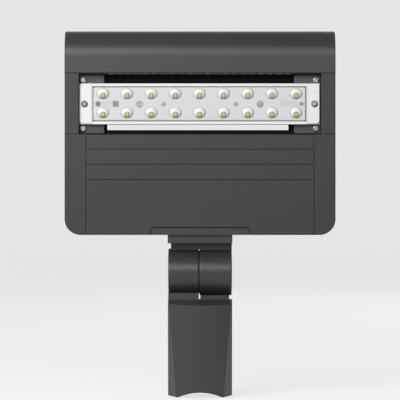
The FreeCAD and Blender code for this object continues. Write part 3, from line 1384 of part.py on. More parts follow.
def lead(route, diameter):
    """A lead along straight runs joined by tangent arcs, and the arcs' radii."""
    points = [Vector(*p) for p in route]
    edges, radii = [], []
    here = points[0]
    for before, corner, after in zip(points, points[1:], points[2:]):
        run_in, run_out = corner - before, after - corner
        turn = run_in.getAngle(run_out)
        radius = 0.45 * min(run_in.Length, run_out.Length) / math.tan(turn / 2)
        cut = radius * math.tan(turn / 2)
        start = corner - Vector(run_in).normalize() * cut
        end = corner + Vector(run_out).normalize() * cut
        inward = (Vector(run_out).normalize() - Vector(run_in).normalize()).normalize()
        middle = corner + inward * (radius / math.cos(turn / 2) - radius)
        edges.append(Part.LineSegment(here, start).toShape())
        edges.append(Part.Arc(start, middle, end).toShape())
        radii.append(round(radius, 1))
        here = end
    edges.append(Part.LineSegment(here, points[-1]).toShape())
    path = Part.Wire(edges)
    ring = Part.Wire([Part.Circle(points[0], points[1] - points[0], diameter / 2).toShape()])
    tube = path.makePipeShell([ring], True, False)
    expected = math.pi * diameter ** 2 / 4 * path.Length
    print(f"lead: radii {radii} mm, length {path.Length:.1f} mm, volume ratio {tube.Volume / expected:.3f}")
    return tube


def leads(label, routes, diameter):
    made = doc.addObject("Part::Feature", label)
    made.Label = label
    made.Shape = Part.makeCompound([lead(route, diameter.value) for route in routes])
    made.Placement = Placement()
    pieces.append(made)


def module_lead_routes():
    """From the board, back through the bridge, down the rail and into the driver."""
    routes = []
    y, top = bushing_y.value, bay_top.value
    for k in (-1, 1):
        z = module_z.value + size.ModuleLeadStep.value / 2 * k
        across = bushing_x.value + 1.6 * k
        level = driver_low.value + 26 + 6 * k
        routes.append((
            (lead_x.value, board_front.value + 0.2, z),
            (lead_x.value, y, z),
            (across, y, top + 14),
            (across, y, top - 14),
            (across + 2, y + 3, level),
            (driver_left.value, y + 3, level),
        ))
    return routes


def input_lead_routes():
    """From the terminal block to the driver's other end."""
    routes = []
    left, right = terminal_left.value, driver_right.value
    for k in range(3):
        y, z = back_inner.value - 5, terminal_z.value + 5 - 5 * k
        level = driver_low.value + 14 + 6 * k
        routes.append((
            (left, y, z),
            (left - 12 - 3 * k, y - 2, z),
            (right + 22 - 4 * k, y - 4, level),
            (right, y - 4, level),
        ))
    return routes


# The pieces -----------------------------------------------------------------------------------


def castings():
    driver_housing()
    front_bezel()
    visor()
    visor_plate()
    side_rail("side_rail_left", -1, lip_left)
    side_rail("side_rail_right", 1, lip_right)
    heat_sink()
    bridge("bridge_left", -1, bridge_left_edge)
    bridge("bridge_right", 1, bridge_right_edge)


def light_module():
    module_frame()
    end_plate("end_plate_left", -1)
    end_plate("end_plate_right", 1)
    led_board()
    led_chips()
    board_connectors()
    lens_plate()
    lens_gasket()
    end_screw_rings()


def door():
    driver_door()
    door_gasket()
    door_hinge_pins()
    door_catches()


def driver_bay():
    driver_plate()
    driver()
    surge_protector()
    terminal_block()
    terminal_screws()
    wire_bushing()
    breather_vent()
    leads("module_leads", module_lead_routes(), size.ModuleLead)
    leads("input_leads", input_lead_routes(), size.InputLead)


def knuckle():
    knuckle_bracket()
    bracket_gasket()
    pivot_cap()
    arm()
    pivot_bolt()
    pivot_nut()
    pivot_washer()
    tenon_set_screws()


def front_screws():
    """Screws whose heads look out of the lit face."""
    corners = [(module_middle + screw_x * side, z) for side in (-1, 1) for z in screw_levels]
    screw_group(
        "bridge_screws", corners, bridge_front, size.ScrewHead, size.ScrewHeadHeight,
        size.ScrewRadius, lip_back, size.ScrewCross,
    )
    ends = [(module_middle + end_screw_x * side, module_z) for side in (-1, 1)]
    screw_group(
        "end_plate_screws", ends, end_screw_front, size.EndScrewHead, size.EndScrewHeadHeight,
        size.EndScrewRadius, lip_front, size.EndScrewCross,
    )
    mids = [(module_middle + lens_screw_x * side, module_z) for side in (-1, 1)]
    screw_group(
        "lens_screws", mids, lens_front, size.LensScrewHead, size.LensScrewHeadHeight,
        size.LensScrewRadius, board_front, size.LensScrewCross,
    )
    screw_group(
        "bezel_screws", boss_places, bezel_plate, size.BezelScrewHead, size.BezelScrewHeadHeight,
        size.ScrewRadius, bezel_back + size.BezelScrewLength, size.BezelScrewCross,
    )
    screw_group(
        "driver_screws", driver_screw_places, plate_front, size.DriverScrewHead,
        size.DriverScrewHeadHeight, size.ScrewRadius, back - size.DriverScrewEnd, size.DriverScrewCross,
    )


def other_screws():
    """Screws along the head and screws whose heads look out of its back."""
    upright_screws(
        "bracket_bolts", bracket_bolt_places, recess_top + size.Wall, size.BracketBoltHead,
        size.BracketBoltHeadHeight, size.BracketBoltRadius, head_low + size.BracketBoltEnd,
    )
    upright_screws(
        "rail_screws", rail_screw_places, bulkhead_under, size.RailScrewHead,
        size.RailScrewHeadHeight, size.ScrewRadius, bay_top + size.RailScrewLength,
    )
    upright_screws(
        "visor_plate_screws", rail_screw_places, visor_plate_top, size.RailScrewHead,
        size.RailScrewHeadHeight, size.ScrewRadius, slot_top - size.RailScrewLength,
    )
    back_screws(
        "visor_screws", visor_screw_places, core, size.VisorScrewHead, size.VisorScrewHeadHeight,
        size.ScrewRadius, core - size.VisorScrewLength,
    )
    back_screws(
        "heat_sink_screws", sink_screw_places, sink_back, size.SinkScrewHead,
        size.SinkScrewHeadHeight, size.SinkScrewRadius, lip_back - size.SinkScrewLength,
    )


def faults():
    doc.recompute()
    found = []
    for item in doc.Objects:
        if "Invalid" in item.State or "Error" in item.State:
            found.append(f"{item.Name} is {item.State}")
    for piece in pieces:
        if piece.Shape.isNull() or not piece.Shape.isValid() or not piece.Shape.Solids:
            found.append(f"{piece.Label} has no valid solid")
    return found


castings()
light_module()
door()
driver_bay()
knuckle()
front_screws()
other_screws()
problems = faults()
if problems:
    raise SystemExit("\n".join(problems))

os.makedirs("parts", exist_ok=True)
for piece in pieces:
    piece.Shape.exportStep(f"parts/{piece.Label}.step")
    print(f"{piece.Label}: {len(piece.Shape.Solids)} solids, {piece.Shape.Volume / 1000:.1f} cm3")
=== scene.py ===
# Flat box-shaped area light on a tilting arm, seen straight on at its lit face in a pale studio.
# Metres, in the part's own frame: +Z up along the arm, -Y out of the lit face.
import math

import bpy
import numpy as np
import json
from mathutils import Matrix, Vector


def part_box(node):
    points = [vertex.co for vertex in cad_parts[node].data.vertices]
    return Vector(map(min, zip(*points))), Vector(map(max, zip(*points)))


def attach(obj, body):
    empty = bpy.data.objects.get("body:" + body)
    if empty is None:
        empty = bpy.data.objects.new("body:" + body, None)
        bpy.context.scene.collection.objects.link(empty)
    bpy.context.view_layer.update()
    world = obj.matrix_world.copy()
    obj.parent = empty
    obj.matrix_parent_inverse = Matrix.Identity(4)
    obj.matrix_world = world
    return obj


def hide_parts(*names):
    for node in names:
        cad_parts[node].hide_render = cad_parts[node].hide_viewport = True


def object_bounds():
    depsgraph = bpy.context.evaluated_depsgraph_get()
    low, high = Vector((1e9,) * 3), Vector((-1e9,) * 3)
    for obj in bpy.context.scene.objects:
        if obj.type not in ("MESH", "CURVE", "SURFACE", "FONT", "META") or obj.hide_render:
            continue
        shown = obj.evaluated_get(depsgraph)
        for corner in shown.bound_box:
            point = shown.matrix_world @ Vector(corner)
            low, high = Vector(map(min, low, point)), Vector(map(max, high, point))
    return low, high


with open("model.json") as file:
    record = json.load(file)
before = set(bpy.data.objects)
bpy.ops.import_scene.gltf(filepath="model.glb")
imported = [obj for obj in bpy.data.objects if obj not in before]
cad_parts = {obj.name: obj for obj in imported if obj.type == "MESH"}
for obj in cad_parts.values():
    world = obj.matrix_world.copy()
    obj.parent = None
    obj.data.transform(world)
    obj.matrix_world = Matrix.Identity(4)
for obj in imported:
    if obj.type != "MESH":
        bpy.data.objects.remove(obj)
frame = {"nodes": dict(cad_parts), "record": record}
cad_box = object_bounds()
nodes = frame["nodes"]

# Places that several pieces share ----------------------------------------------------------

MM = 0.001
COLUMNS = 9
CHIP_WIDTH = 5.0 * MM
DOME_HALF_WIDTH = 7.3 * MM
DOME_HALF_HEIGHT = 6.6 * MM
DOME_RISE = 3.4 * MM
DOME_OVER_CHIP = 2.7 * MM
SKIN_THICKNESS = 2.4 * MM
SCREW_HEAD_RADIUS = 4.25 * MM
PEG_RADIUS = 3.1 * MM
PEG_OUT_IN_PITCHES = 1.5

chips_low, chips_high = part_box("led_chips")
plate_low, plate_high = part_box("lens_plate")
screws_low, screws_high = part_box("lens_screws")
pitch = (chips_high.x - chips_low.x - CHIP_WIDTH) / (COLUMNS - 1)
middle_x = (plate_low.x + plate_high.x) / 2
middle_z = (plate_low.z + plate_high.z) / 2
chip_columns = [chips_low.x + CHIP_WIDTH / 2 + pitch * k for k in range(COLUMNS)]
chip_rows = (chips_low.z + CHIP_WIDTH / 2, chips_high.z - CHIP_WIDTH / 2)
skin_front = plate_low.y + DOME_RISE
skin_back = skin_front + SKIN_THICKNESS

# Finishes ------------------------------------------------------------------------------------


class Shade:
    """A value that varies over a surface. Sums on it add the nodes that work it out."""

    def __init__(self, finish, socket):
        self.finish = finish
        self.socket = socket

    def sum(self, operation, first, second):
        return self.finish.node("ShaderNodeMath", {"operation": operation}, {0: first, 1: second})

    def __add__(self, other):
        return self.sum("ADD", self, other)

    def __sub__(self, other):
        return self.sum("SUBTRACT", self, other)

    def __mul__(self, other):
        return self.sum("MULTIPLY", self, other)

    def __truediv__(self, other):
        return self.sum("DIVIDE", self, other)

    def __pow__(self, other):
        return self.sum("POWER", self, other)

    def __radd__(self, other):
        return self.sum("ADD", other, self)

    def __rsub__(self, other):
        return self.sum("SUBTRACT", other, self)

    def __rmul__(self, other):
        return self.sum("MULTIPLY", other, self)

    def most(self, other):
        return self.sum("MAXIMUM", self, other)

    def between(self, low, high):
        """0 up to low, 1 from high on, smooth between."""
        steps = {"From Min": low, "From Max": high, "Value": self}
        return self.finish.node("ShaderNodeMapRange", {"interpolation_type": "SMOOTHSTEP"}, steps)


class Finish:
    """One surface finish, on one Principled shader whose plain numbers are set by name."""

    def __init__(self, name, **plain):
        self.material = bpy.data.materials.new(name)
        self.material.use_nodes = True
        self.tree = self.material.node_tree
        self.shader = self.tree.nodes["Principled BSDF"]
        for socket, value in plain.items():
            self.shader.inputs[socket.replace("_", " ")].default_value = value

    def node(self, kind, settings, sockets, take=0):
        """Adds a node: its settings first, then the values or links of its sockets."""
        made = self.tree.nodes.new(kind)
        for setting, value in settings.items():
            setattr(made, setting, value)
        for socket, value in sockets.items():
            if isinstance(value, Shade):
                self.tree.links.new(value.socket, made.inputs[socket])
            else:
                made.inputs[socket].default_value = value
        return Shade(self, made.outputs[take])

    def place(self):
        return self.node("ShaderNodeTexCoord", {}, {}, "Object")

    def stretched(self, x, y, z):
        """The piece's own coordinates, stretched along each axis."""
        sockets = {0: self.place(), 1: (x, y, z)}
        return self.node("ShaderNodeVectorMath", {"operation": "MULTIPLY"}, sockets)

    def noise(self, size, detail=2.0, where=None):
        """Cloudy values around 0.5 whose lumps are about size metres across."""
        sockets = {"Vector": where or self.place(), "Scale": 1 / size, "Detail": detail}
        return self.node("ShaderNodeTexNoise", {}, sockets)

    def mix(self, share, first, second):
        sockets = {0: share, 6: first, 7: second}
        return self.node("ShaderNodeMix", {"data_type": "RGBA"}, sockets, 2)

    def rounded(self, radius):
        """The surface's direction as if every edge were rounded to this radius."""
        return self.node("ShaderNodeBevel", {"samples": 4}, {"Radius": radius})

    def edges(self, rounded):
        """1 on edges, 0 on flats."""
        plain = self.node("ShaderNodeNewGeometry", {}, {}, "True Normal")
        sockets = {0: rounded, 1: plain}
        facing = self.node("ShaderNodeVectorMath", {"operation": "DOT_PRODUCT"}, sockets, "Value")
        return (1 - facing).between(0.02, 0.22)

    def relief(self, height, depth, over=None):
        """Turns a height from 0 to 1 into relief this many metres deep, over a direction."""
        sockets = {"Height": height, "Distance": depth, "Strength": 1.0}
        if over:
            sockets["Normal"] = over
        return self.node("ShaderNodeBump", {}, sockets)

    def drive(self, **varying):
        """Joins varying values to the shader's sockets."""
        for socket, value in varying.items():
            self.tree.links.new(value.socket, self.shader.inputs[socket.replace("_", " ")])
        return self.material


def grey(level, warmth=0.0):
    """A colour with alpha from a level, leaning warm or cool."""
    return (level * (1 + warmth), level, level * (1 - warmth), 1.0)


RUBBED = 1.7  # how much paler the coat is where its edges are rubbed


def powder_coat(name, level, gloss, shine=0.5):
    """Baked powder coat: pebbled at one millimetre, cloudy, paler where its edges are rubbed."""
    coat = Finish(name, Specular_IOR_Level=shine)
    rounded = coat.rounded(0.9 * MM)
    edges = coat.edges(rounded)
    cloud = coat.noise(110 * MM, 3.0)
    speck = coat.noise(1.1 * MM, 2.0)
    scuffed = edges * coat.noise(6 * MM, 3.0).between(0.38, 0.62)
    worn = coat.mix(cloud, grey(level * 0.9, -0.02), grey(level * 1.1, -0.01))
    speckled = coat.mix(speck.between(0.55, 0.75) * 0.25, worn, grey(level * 1.5))
    colour = coat.mix(scuffed * 0.8, speckled, grey(level * RUBBED))
    pebble = coat.noise(1.3 * MM, 1.0) * 0.7 + coat.noise(0.5 * MM, 1.0) * 0.3
    return coat.drive(
        Base_Color=colour,
        Roughness=gloss + (cloud - 0.5) * 0.12 + (speck - 0.5) * 0.1 - edges * 0.06,
        Normal=coat.relief(pebble, 0.07 * MM, rounded),
    )


def white_coat():
    """Gloss white on a drawn frame, with faint lines along X, and painted shade along its edges."""
    coat = Finish("module_white", Specular_IOR_Level=0.5)
    rounded = coat.rounded(0.5 * MM)
    edges = coat.edges(rounded)
    drawn = coat.noise(0.6 * MM, 2.0, coat.stretched(0.02, 1.0, 1.0))
    cloud = coat.noise(50 * MM, 3.0)
    base = coat.mix(cloud, grey(0.83, 0.004), grey(0.89, 0.002))
    return coat.drive(
        # Greyer along every edge: painted shade.
        Base_Color=coat.mix(edges * 0.5, base, grey(0.78)),
        Roughness=0.34 + (drawn - 0.5) * 0.14,
        Normal=coat.relief(drawn, 0.02 * MM, rounded),
    )


def machined(name, level, gloss, warmth=0.0):
    """Bright turned metal: fine turning lines, duller in random clouds."""
    metal = Finish(name, Metallic=1.0)
    rounded = metal.rounded(0.2 * MM)
    lines = metal.noise(0.35 * MM, 3.0, metal.stretched(1.0, 0.15, 1.0))
    cloud = metal.noise(4 * MM, 2.0)
    dull = grey(level * 0.65, warmth)
    return metal.drive(
        Base_Color=metal.mix(cloud.between(0.3, 0.7), dull, grey(level, warmth)),
        Roughness=gloss + (lines - 0.5) * 0.25,
        Normal=metal.relief(lines, 0.01 * MM, rounded),
    )


# What shows through the middle row of the lens plate, in mm from its middle: pale or dark
# spans from left to right with their level, then round spots with their radius and level.
UNDER_SPANS = ((-123.0, -109.0, 0.72), (-109.0, -100.8, 0.2), (100.6, 125.6, 0.7))
UNDER_SPOTS = ((-126.9, 3.3, 0.12), (127.9, 2.6, 0.25), (-45.2, 3.0, 0.4), (45.2, 3.0, 0.4))
SPAN_HALF_HEIGHT = 3.7

# The arch in which a dome shows its chip, in mm from the dome's middle: a painted refraction of the
# chip, outlined in painted shade, with painted shade under its core.
ARCH_CENTRE = -2.0
ARCH_FOOT = -6.3
CORE_FOOT = -5.05
ARCH_RADIUS = 3.15
CORE_RADIUS = 2.1
ARCH_PAINTED_SHADE_LINE = (0.1, 0.11, 0.03, 1.0)
ARCH_PAINTED_CHIP_IMAGE = (0.66, 0.72, 0.22, 1.0)


def inside(distance, radius, blur):
    """1 where a distance is less than the radius, 0 past it, with a blurred edge."""
    return 1 - distance.between(radius - blur, radius + blur)


def under_the_plate(clear, along, across, flat):
    """The flat's colour with what lies under its middle row."""
    row = inside(across.sum("ABSOLUTE", across, 0.0), SPAN_HALF_HEIGHT, 0.3)
    for left, right, level in UNDER_SPANS:
        span = along.between(left, left + 0.8) * (1 - along.between(right - 0.8, right)) * row
        flat = clear.mix(span * 0.8, flat, grey(level))
    for middle, radius, level in UNDER_SPOTS:
        off = along - middle
        spot = inside((off * off + across * across) ** 0.5, radius, 0.6)
        flat = clear.mix(spot * 0.85, flat, grey(level))
    return flat


def clear_moulding():
    """Acrylic over a white board: pale flats, domes painted white as painted light, each with its
    chip painted in as an arch.
    """
    clear = Finish("lens_clear", Transmission_Weight=0.12, IOR=1.49)
    x, z = (clear.node("ShaderNodeSeparateXYZ", {}, {0: clear.place()}, axis) for axis in "XZ")
    flow = clear.noise(30 * MM, 2.0, clear.stretched(0.3, 1.0, 1.0))
    haze = clear.noise(2 * MM, 2.0)

    # From the middle of the nearest dome, in mm: across, up, and as a share of its half width.
    steps = (x - chip_columns[0]) / pitch + 0.5
    across = (steps.sum("FRACT", steps, 0.0) - 0.5) * (pitch / MM)
    upper = z.sum("GREATER_THAN", z, middle_z)
    up = (z - chip_rows[0] - DOME_OVER_CHIP - upper * (chip_rows[1] - chip_rows[0])) / MM
    out = ((across / (DOME_HALF_WIDTH / MM)) ** 2.0 + (up / (DOME_HALF_HEIGHT / MM)) ** 2.0) ** 0.5

    flat = clear.mix(flow, grey(0.77), grey(0.83))
    flat = under_the_plate(clear, (x - middle_x) / MM, (z - middle_z) / MM, flat)
    dome = inside(out, 0.985, 0.035)
    # Each clear dome painted whiter than the board under it: painted light.
    white = clear.mix(haze, grey(0.93), grey(0.99))
    # A grey ring round each dome's foot: painted shade.
    colour = clear.mix(inside(out, 1.14, 0.08), flat, grey(0.55))
    colour = clear.mix(dome, colour, white)
    # Greyer towards each dome's rim: painted shade on its curve.
    colour = clear.mix(out.between(0.55, 0.95) * dome * 0.3, colour, grey(0.75))

    over = (up - ARCH_CENTRE).most(0.0)
    reach = (across * across + over * over) ** 0.5
    above_foot = up.between(ARCH_FOOT - 0.3, ARCH_FOOT + 0.3)
    above_core_foot = up.between(CORE_FOOT - 0.25, CORE_FOOT + 0.25)
    core = inside(reach, CORE_RADIUS, 0.2)
    # A painted shade outline, the phosphor as a painted refraction, and painted shade under it.
    colour = clear.mix(inside(reach, ARCH_RADIUS, 0.25) * above_foot * 0.85, colour, ARCH_PAINTED_SHADE_LINE)
    colour = clear.mix(core * above_core_foot, colour, ARCH_PAINTED_CHIP_IMAGE)
    colour = clear.mix(core * (1 - above_core_foot) * above_foot, colour, grey(0.34))
    return clear.drive(
        Base_Color=colour,
        Roughness=0.3 + haze * 0.08,
        Normal=clear.relief(flow, 0.05 * MM),
    )


def solder_mask():
    """White solder mask with a faint weave."""
    mask = Finish("board_white", Specular_IOR_Level=0.5)
    weave = mask.noise(0.8 * MM, 2.0)
    cloud = mask.noise(20 * MM, 2.0)
    return mask.drive(
        Base_Color=mask.mix(cloud, grey(0.74), grey(0.8)),
        Roughness=0.3 + weave * 0.2,
        Normal=mask.relief(weave, 0.02 * MM),
    )


def phosphor():
    """The yellow-green layer on each chip."""
    glow = Finish("chip_phosphor", Specular_IOR_Level=0.5)
    grain = glow.noise(0.4 * MM, 2.0)
    return glow.drive(
        Base_Color=glow.mix(grain, (0.62, 0.66, 0.16, 1.0), (0.78, 0.8, 0.3, 1.0)),
        Roughness=0.3 + grain * 0.25,
        Normal=glow.relief(grain, 0.03 * MM),
    )


def moulded(name, colour, pale, gloss):
    """Moulded plastic or rubber with a spark-eroded grain."""
    plastic = Finish(name, Specular_IOR_Level=0.45)
    rounded = plastic.rounded(0.4 * MM)
    grain = plastic.noise(0.7 * MM, 2.0)
    cloud = plastic.noise(12 * MM, 2.0)
    edges = plastic.edges(rounded)
    base = plastic.mix(cloud, (*colour, 1.0), (*pale, 1.0))
    edge = tuple(min(1.0, part * 1.6) for part in pale)
    return plastic.drive(
        Base_Color=plastic.mix(edges * 0.4, base, (*edge, 1.0)),
        Roughness=gloss + (grain - 0.5) * 0.2,
        Normal=plastic.relief(grain, 0.04 * MM, rounded),
    )


def sheet_metal(name, level):
    """Plain rolled sheet with its grain along X."""
    sheet = Finish(name, Metallic=1.0)
    rounded = sheet.rounded(0.4 * MM)
    grain = sheet.noise(0.5 * MM, 3.0, sheet.stretched(0.03, 1.0, 1.0))
    cloud = sheet.noise(30 * MM, 2.0)
    return sheet.drive(
        Base_Color=sheet.mix(cloud, grey(level * 0.85), grey(level)),
        Roughness=0.36 + (grain - 0.5) * 0.3,
        Normal=sheet.relief(grain, 0.01 * MM, rounded),
    )


finishes = {
    "body_coat": powder_coat("body_coat", 0.026, 0.4),
    "bridge_coat": powder_coat("bridge_coat", 0.06, 0.4),
    # Near-black with almost no sheen: the heat sink's dark coat, with painted shade of the deep
    # slot it lies in.
    "sink_black": powder_coat("sink_black", 0.005, 0.6, shine=0.08),
    "module_white": white_coat(),
    "lens_clear": clear_moulding(),
    "board_white": solder_mask(),
    "chip_phosphor": phosphor(),
    "connector_pale": moulded("connector_pale", (0.6, 0.6, 0.58), (0.7, 0.7, 0.68), 0.45),
    "seal_rubber": moulded("seal_rubber", (0.022, 0.022, 0.022), (0.035, 0.035, 0.036), 0.62),
    "screw_steel": machined("screw_steel", 0.42, 0.36),
    "bolt_steel": machined("bolt_steel", 0.5, 0.38, 0.02),
    "spring_steel": sheet_metal("spring_steel", 0.55),
    "driver_case": sheet_metal("driver_case", 0.62),
    "moulding_black": moulded("moulding_black", (0.02, 0.02, 0.021), (0.034, 0.034, 0.036), 0.5),
    "lead_red": moulded("lead_red", (0.36, 0.02, 0.018), (0.48, 0.035, 0.03), 0.5),
    "lead_black": moulded("lead_black", (0.02, 0.02, 0.02), (0.035, 0.035, 0.035), 0.5),
}
# The same coat, a little smoother, painted paler on the visor, knuckle bracket and arm: painted
# light, where more light falls on them.
visor_coat_painted_light = powder_coat("visor_coat_painted_light", 0.038, 0.36)
knuckle_coat_painted_light = powder_coat("knuckle_coat_painted_light", 0.037, 0.33)
painted_light_coats = {"visor": visor_coat_painted_light, "knuckle_bracket": knuckle_coat_painted_light, "arm": knuckle_coat_painted_light}
# Second finishes of pieces made below.
ceramic = moulded("chip_ceramic", (0.62, 0.62, 0.58), (0.72, 0.72, 0.68), 0.4)
sensor_black = moulded("sensor_black", (0.05, 0.05, 0.055), (0.08, 0.08, 0.085), 0.4)

# Pieces made in the CAD, each in its own finish ------------------------------------------------

for row in frame["record"]["subparts"]:
    piece = nodes[row["node"]]
    piece.data.materials.clear()
    # The visor, knuckle bracket and arm take the paler coat copies, which are painted light.
    piece.data.materials.append(painted_light_coats.get(row["node"], finishes[row["material_slot"]]))


# Pieces made here ------------------------------------------------------------------------------


SHARP = math.radians(38)


def new_piece(name, points, faces, body, slot, stands_for, kinds=None, others=()):
    """A mesh on a body for a CAD node; kinds numbers each face's finish, slot's own first."""
    mesh = bpy.data.meshes.new(name)
    mesh.from_pydata([tuple(p) for p in points], [], faces)
    for material in (finishes[slot], *others):
        mesh.materials.append(material)
    if kinds:
        mesh.polygons.foreach_set("material_index", kinds)
    mesh.validate()
    mesh.polygons.foreach_set("use_smooth", [True] * len(mesh.polygons))
    mesh.set_sharp_from_angle(angle=SHARP)
    made = bpy.data.objects.new(name, mesh)
    bpy.context.scene.collection.objects.link(made)
    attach(made, body)
    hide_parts(stands_for)



CUP_RADIUS = 3.9 * MM
CUP_DEPTH = 2.0 * MM
SCREW_HEAD_HEIGHT = 2.2 * MM
PEG_RISE = 0.5 * MM


def swell(u, v, half_width, half_height, power):
    """A round swelling: 1 in its middle and 0 past its edge."""
    return np.clip(1 - (u / half_width) ** 2 - (v / half_height) ** 2, 0, 1) ** power


def lens_heights(x, z):
    """How far the lens plate's front stands out, and how far its back is hollowed, at x and z."""
    front = np.zeros_like(x)
    hollow = np.zeros_like(x)
    for cx in chip_columns:
        for cz in chip_rows:
            dome = swell(x - cx, z - cz - DOME_OVER_CHIP, DOME_HALF_WIDTH, DOME_HALF_HEIGHT, 0.6)
            cup = swell(x - cx, z - cz, CUP_RADIUS, CUP_RADIUS, 0.6)
            front = np.maximum(front, (DOME_RISE - 0.1 * MM) * dome)
            hollow = np.maximum(hollow, CUP_DEPTH * cup)
    sunk = max(0.0, screws_low.y + SCREW_HEAD_HEIGHT - skin_front)
    for cx in (screws_low.x + SCREW_HEAD_RADIUS, screws_high.x - SCREW_HEAD_RADIUS):
        off = np.hypot(x - cx, z - (screws_low.z + screws_high.z) / 2)
        front = np.where(off < SCREW_HEAD_RADIUS + 0.7 * MM, -sunk, front)
    for side in (-1, 1):
        off = np.hypot(x - middle_x - side * pitch * PEG_OUT_IN_PITCHES, z - middle_z)
        front = np.maximum(front, PEG_RISE * np.clip((1 - off / PEG_RADIUS) / 0.15, 0, 1))
    return front, hollow


def rounded_grid(step, bend):
    """A grid over the lens plate whose corners are pulled in to a radius."""
    half_x, half_z = (plate_high.x - plate_low.x) / 2, (plate_high.z - plate_low.z) / 2
    columns, rows = round(2 * half_x / step) + 1, round(2 * half_z / step) + 1
    along = np.linspace(plate_low.x, plate_high.x, columns)
    x, z = np.meshgrid(along, np.linspace(plate_low.z, plate_high.z, rows))
    heights = lens_heights(x, z)
    over_x = np.abs(x - middle_x) - (half_x - bend)
    over_z = np.abs(z - middle_z) - (half_z - bend)
    far = np.hypot(over_x, over_z)
    outside = (over_x > 0) & (over_z > 0) & (far > bend)
    pull = np.where(outside, bend / np.maximum(far, 1e-9), 1.0)
    corner_x = middle_x + np.sign(x - middle_x) * (half_x - bend)
    corner_z = middle_z + np.sign(z - middle_z) * (half_z - bend)
    x = np.where(outside, corner_x + (x - corner_x) * pull, x)
    z = np.where(outside, corner_z + (z - corner_z) * pull, z)
    from_edge = np.minimum(half_x - np.abs(x - middle_x), half_z - np.abs(z - middle_z))
    return x, z, from_edge, heights


def grid_faces(rows, columns):
    """Faces of a front grid, of a back grid whose points follow it, and of the rim between."""
    count = rows * columns
    faces = []
    for r in range(rows - 1):
        for c in range(columns - 1):
            a = r * columns + c
            b, d, e = a + 1, a + columns, a + columns + 1
            faces += [(a, b, e, d), (a + count, d + count, e + count, b + count)]
    rim = [(0, c) for c in range(columns)]
    rim += [(r, columns - 1) for r in range(1, rows)]
    rim += [(rows - 1, c) for c in range(columns - 2, -1, -1)]
    rim += [(r, 0) for r in range(rows - 2, 0, -1)]
    ring = [r * columns + c for r, c in rim]
    faces += [(b, a, a + count, b + count) for a, b in zip(ring, ring[1:] + ring[:1])]
    return faces


def lens_plate():
    """The clear lens plate: 18 domes over hollows, with a foot round its edge."""
    foot, soft = 2.6 * MM, 0.9 * MM
    x, z, from_edge, (front, hollow) = rounded_grid(0.7 * MM, 2.2 * MM)
    lip = np.clip(1 - from_edge / soft, 0, 1) ** 2 * 0.5 * MM
    footed = np.clip((foot - from_edge) / (0.5 * MM), 0, 1) * (plate_high.y - skin_back)
    top = np.stack([x, skin_front - front + lip, z], -1).reshape(-1, 3)
    under = np.stack([x, skin_back - hollow + footed, z], -1).reshape(-1, 3)
    points = np.concatenate([top, under])
    faces = grid_faces(*x.shape)
    new_piece("lens_plate_clear", points, faces, "head", "lens_clear", "lens_plate")


def bevelled_block(low, high, bend, points, faces):
    """Adds a block with chamfered edges towards -Y to the lists, and returns its faces' count."""
    (x0, y0, z0), (x1, y1, z1) = low, high
    start = len(points)
    for y, cut in ((y1, 0.0), (y0 + bend, 0.0), (y0, bend)):
        corner = bend * 0.8
        for x, z, sx, sz in ((x0, z0, 1, 1), (x1, z0, -1, 1), (x1, z1, -1, -1), (x0, z1, 1, -1)):
            first = (x + sx * (corner + cut), y, z + sz * cut)
            second = (x + sx * cut, y, z + sz * (corner + cut))
            points.extend((second, first) if sx * sz > 0 else (first, second))
    made = [tuple(start + k for k in range(7, -1, -1))]
    for ring in (0, 8):
        for k in range(8):
            a, b = start + ring + k, start + ring + (k + 1) % 8
            made.append((a, b, b + 8, a + 8))
    made.append(tuple(start + 16 + k for k in range(8)))
    faces.extend(made)
    return len(made)


# Steps of a chip from its base up: half width, height, bevel, and which finish.
PHOSPHOR, CERAMIC = 0, 1
CHIP_STEPS = (
    (2.5 * MM, 0.35 * MM, 0.15 * MM, CERAMIC),
    (2.1 * MM, 0.6 * MM, 0.12 * MM, CERAMIC),
    (1.7 * MM, 0.9 * MM, 0.25 * MM, PHOSPHOR),
)


def led_chips():
    """18 chips: a ceramic base with a phosphor square let into a raised frame."""
    points, faces, kinds = [], [], []
    back = chips_high.y
    for x in chip_columns:
        for z in chip_rows:
            for half, rise, bend, kind in CHIP_STEPS:
                low, high = (x - half, back - rise, z - half), (x + half, back, z + half)
                kinds += [kind] * bevelled_block(low, high, bend, points, faces)
    finish = {"kinds": kinds, "others": [ceramic]}
    new_piece("led_chip_set", points, faces, "head", "chip_phosphor", "led_chips", **finish)


# Finishes of the blocks on the board, their height, and how far apart the poles are.
PALE, STEEL, SENSOR = 0, 1, 2
BLOCK_RISE = 1.5 * MM
POLE_OUT = 1.9 * MM


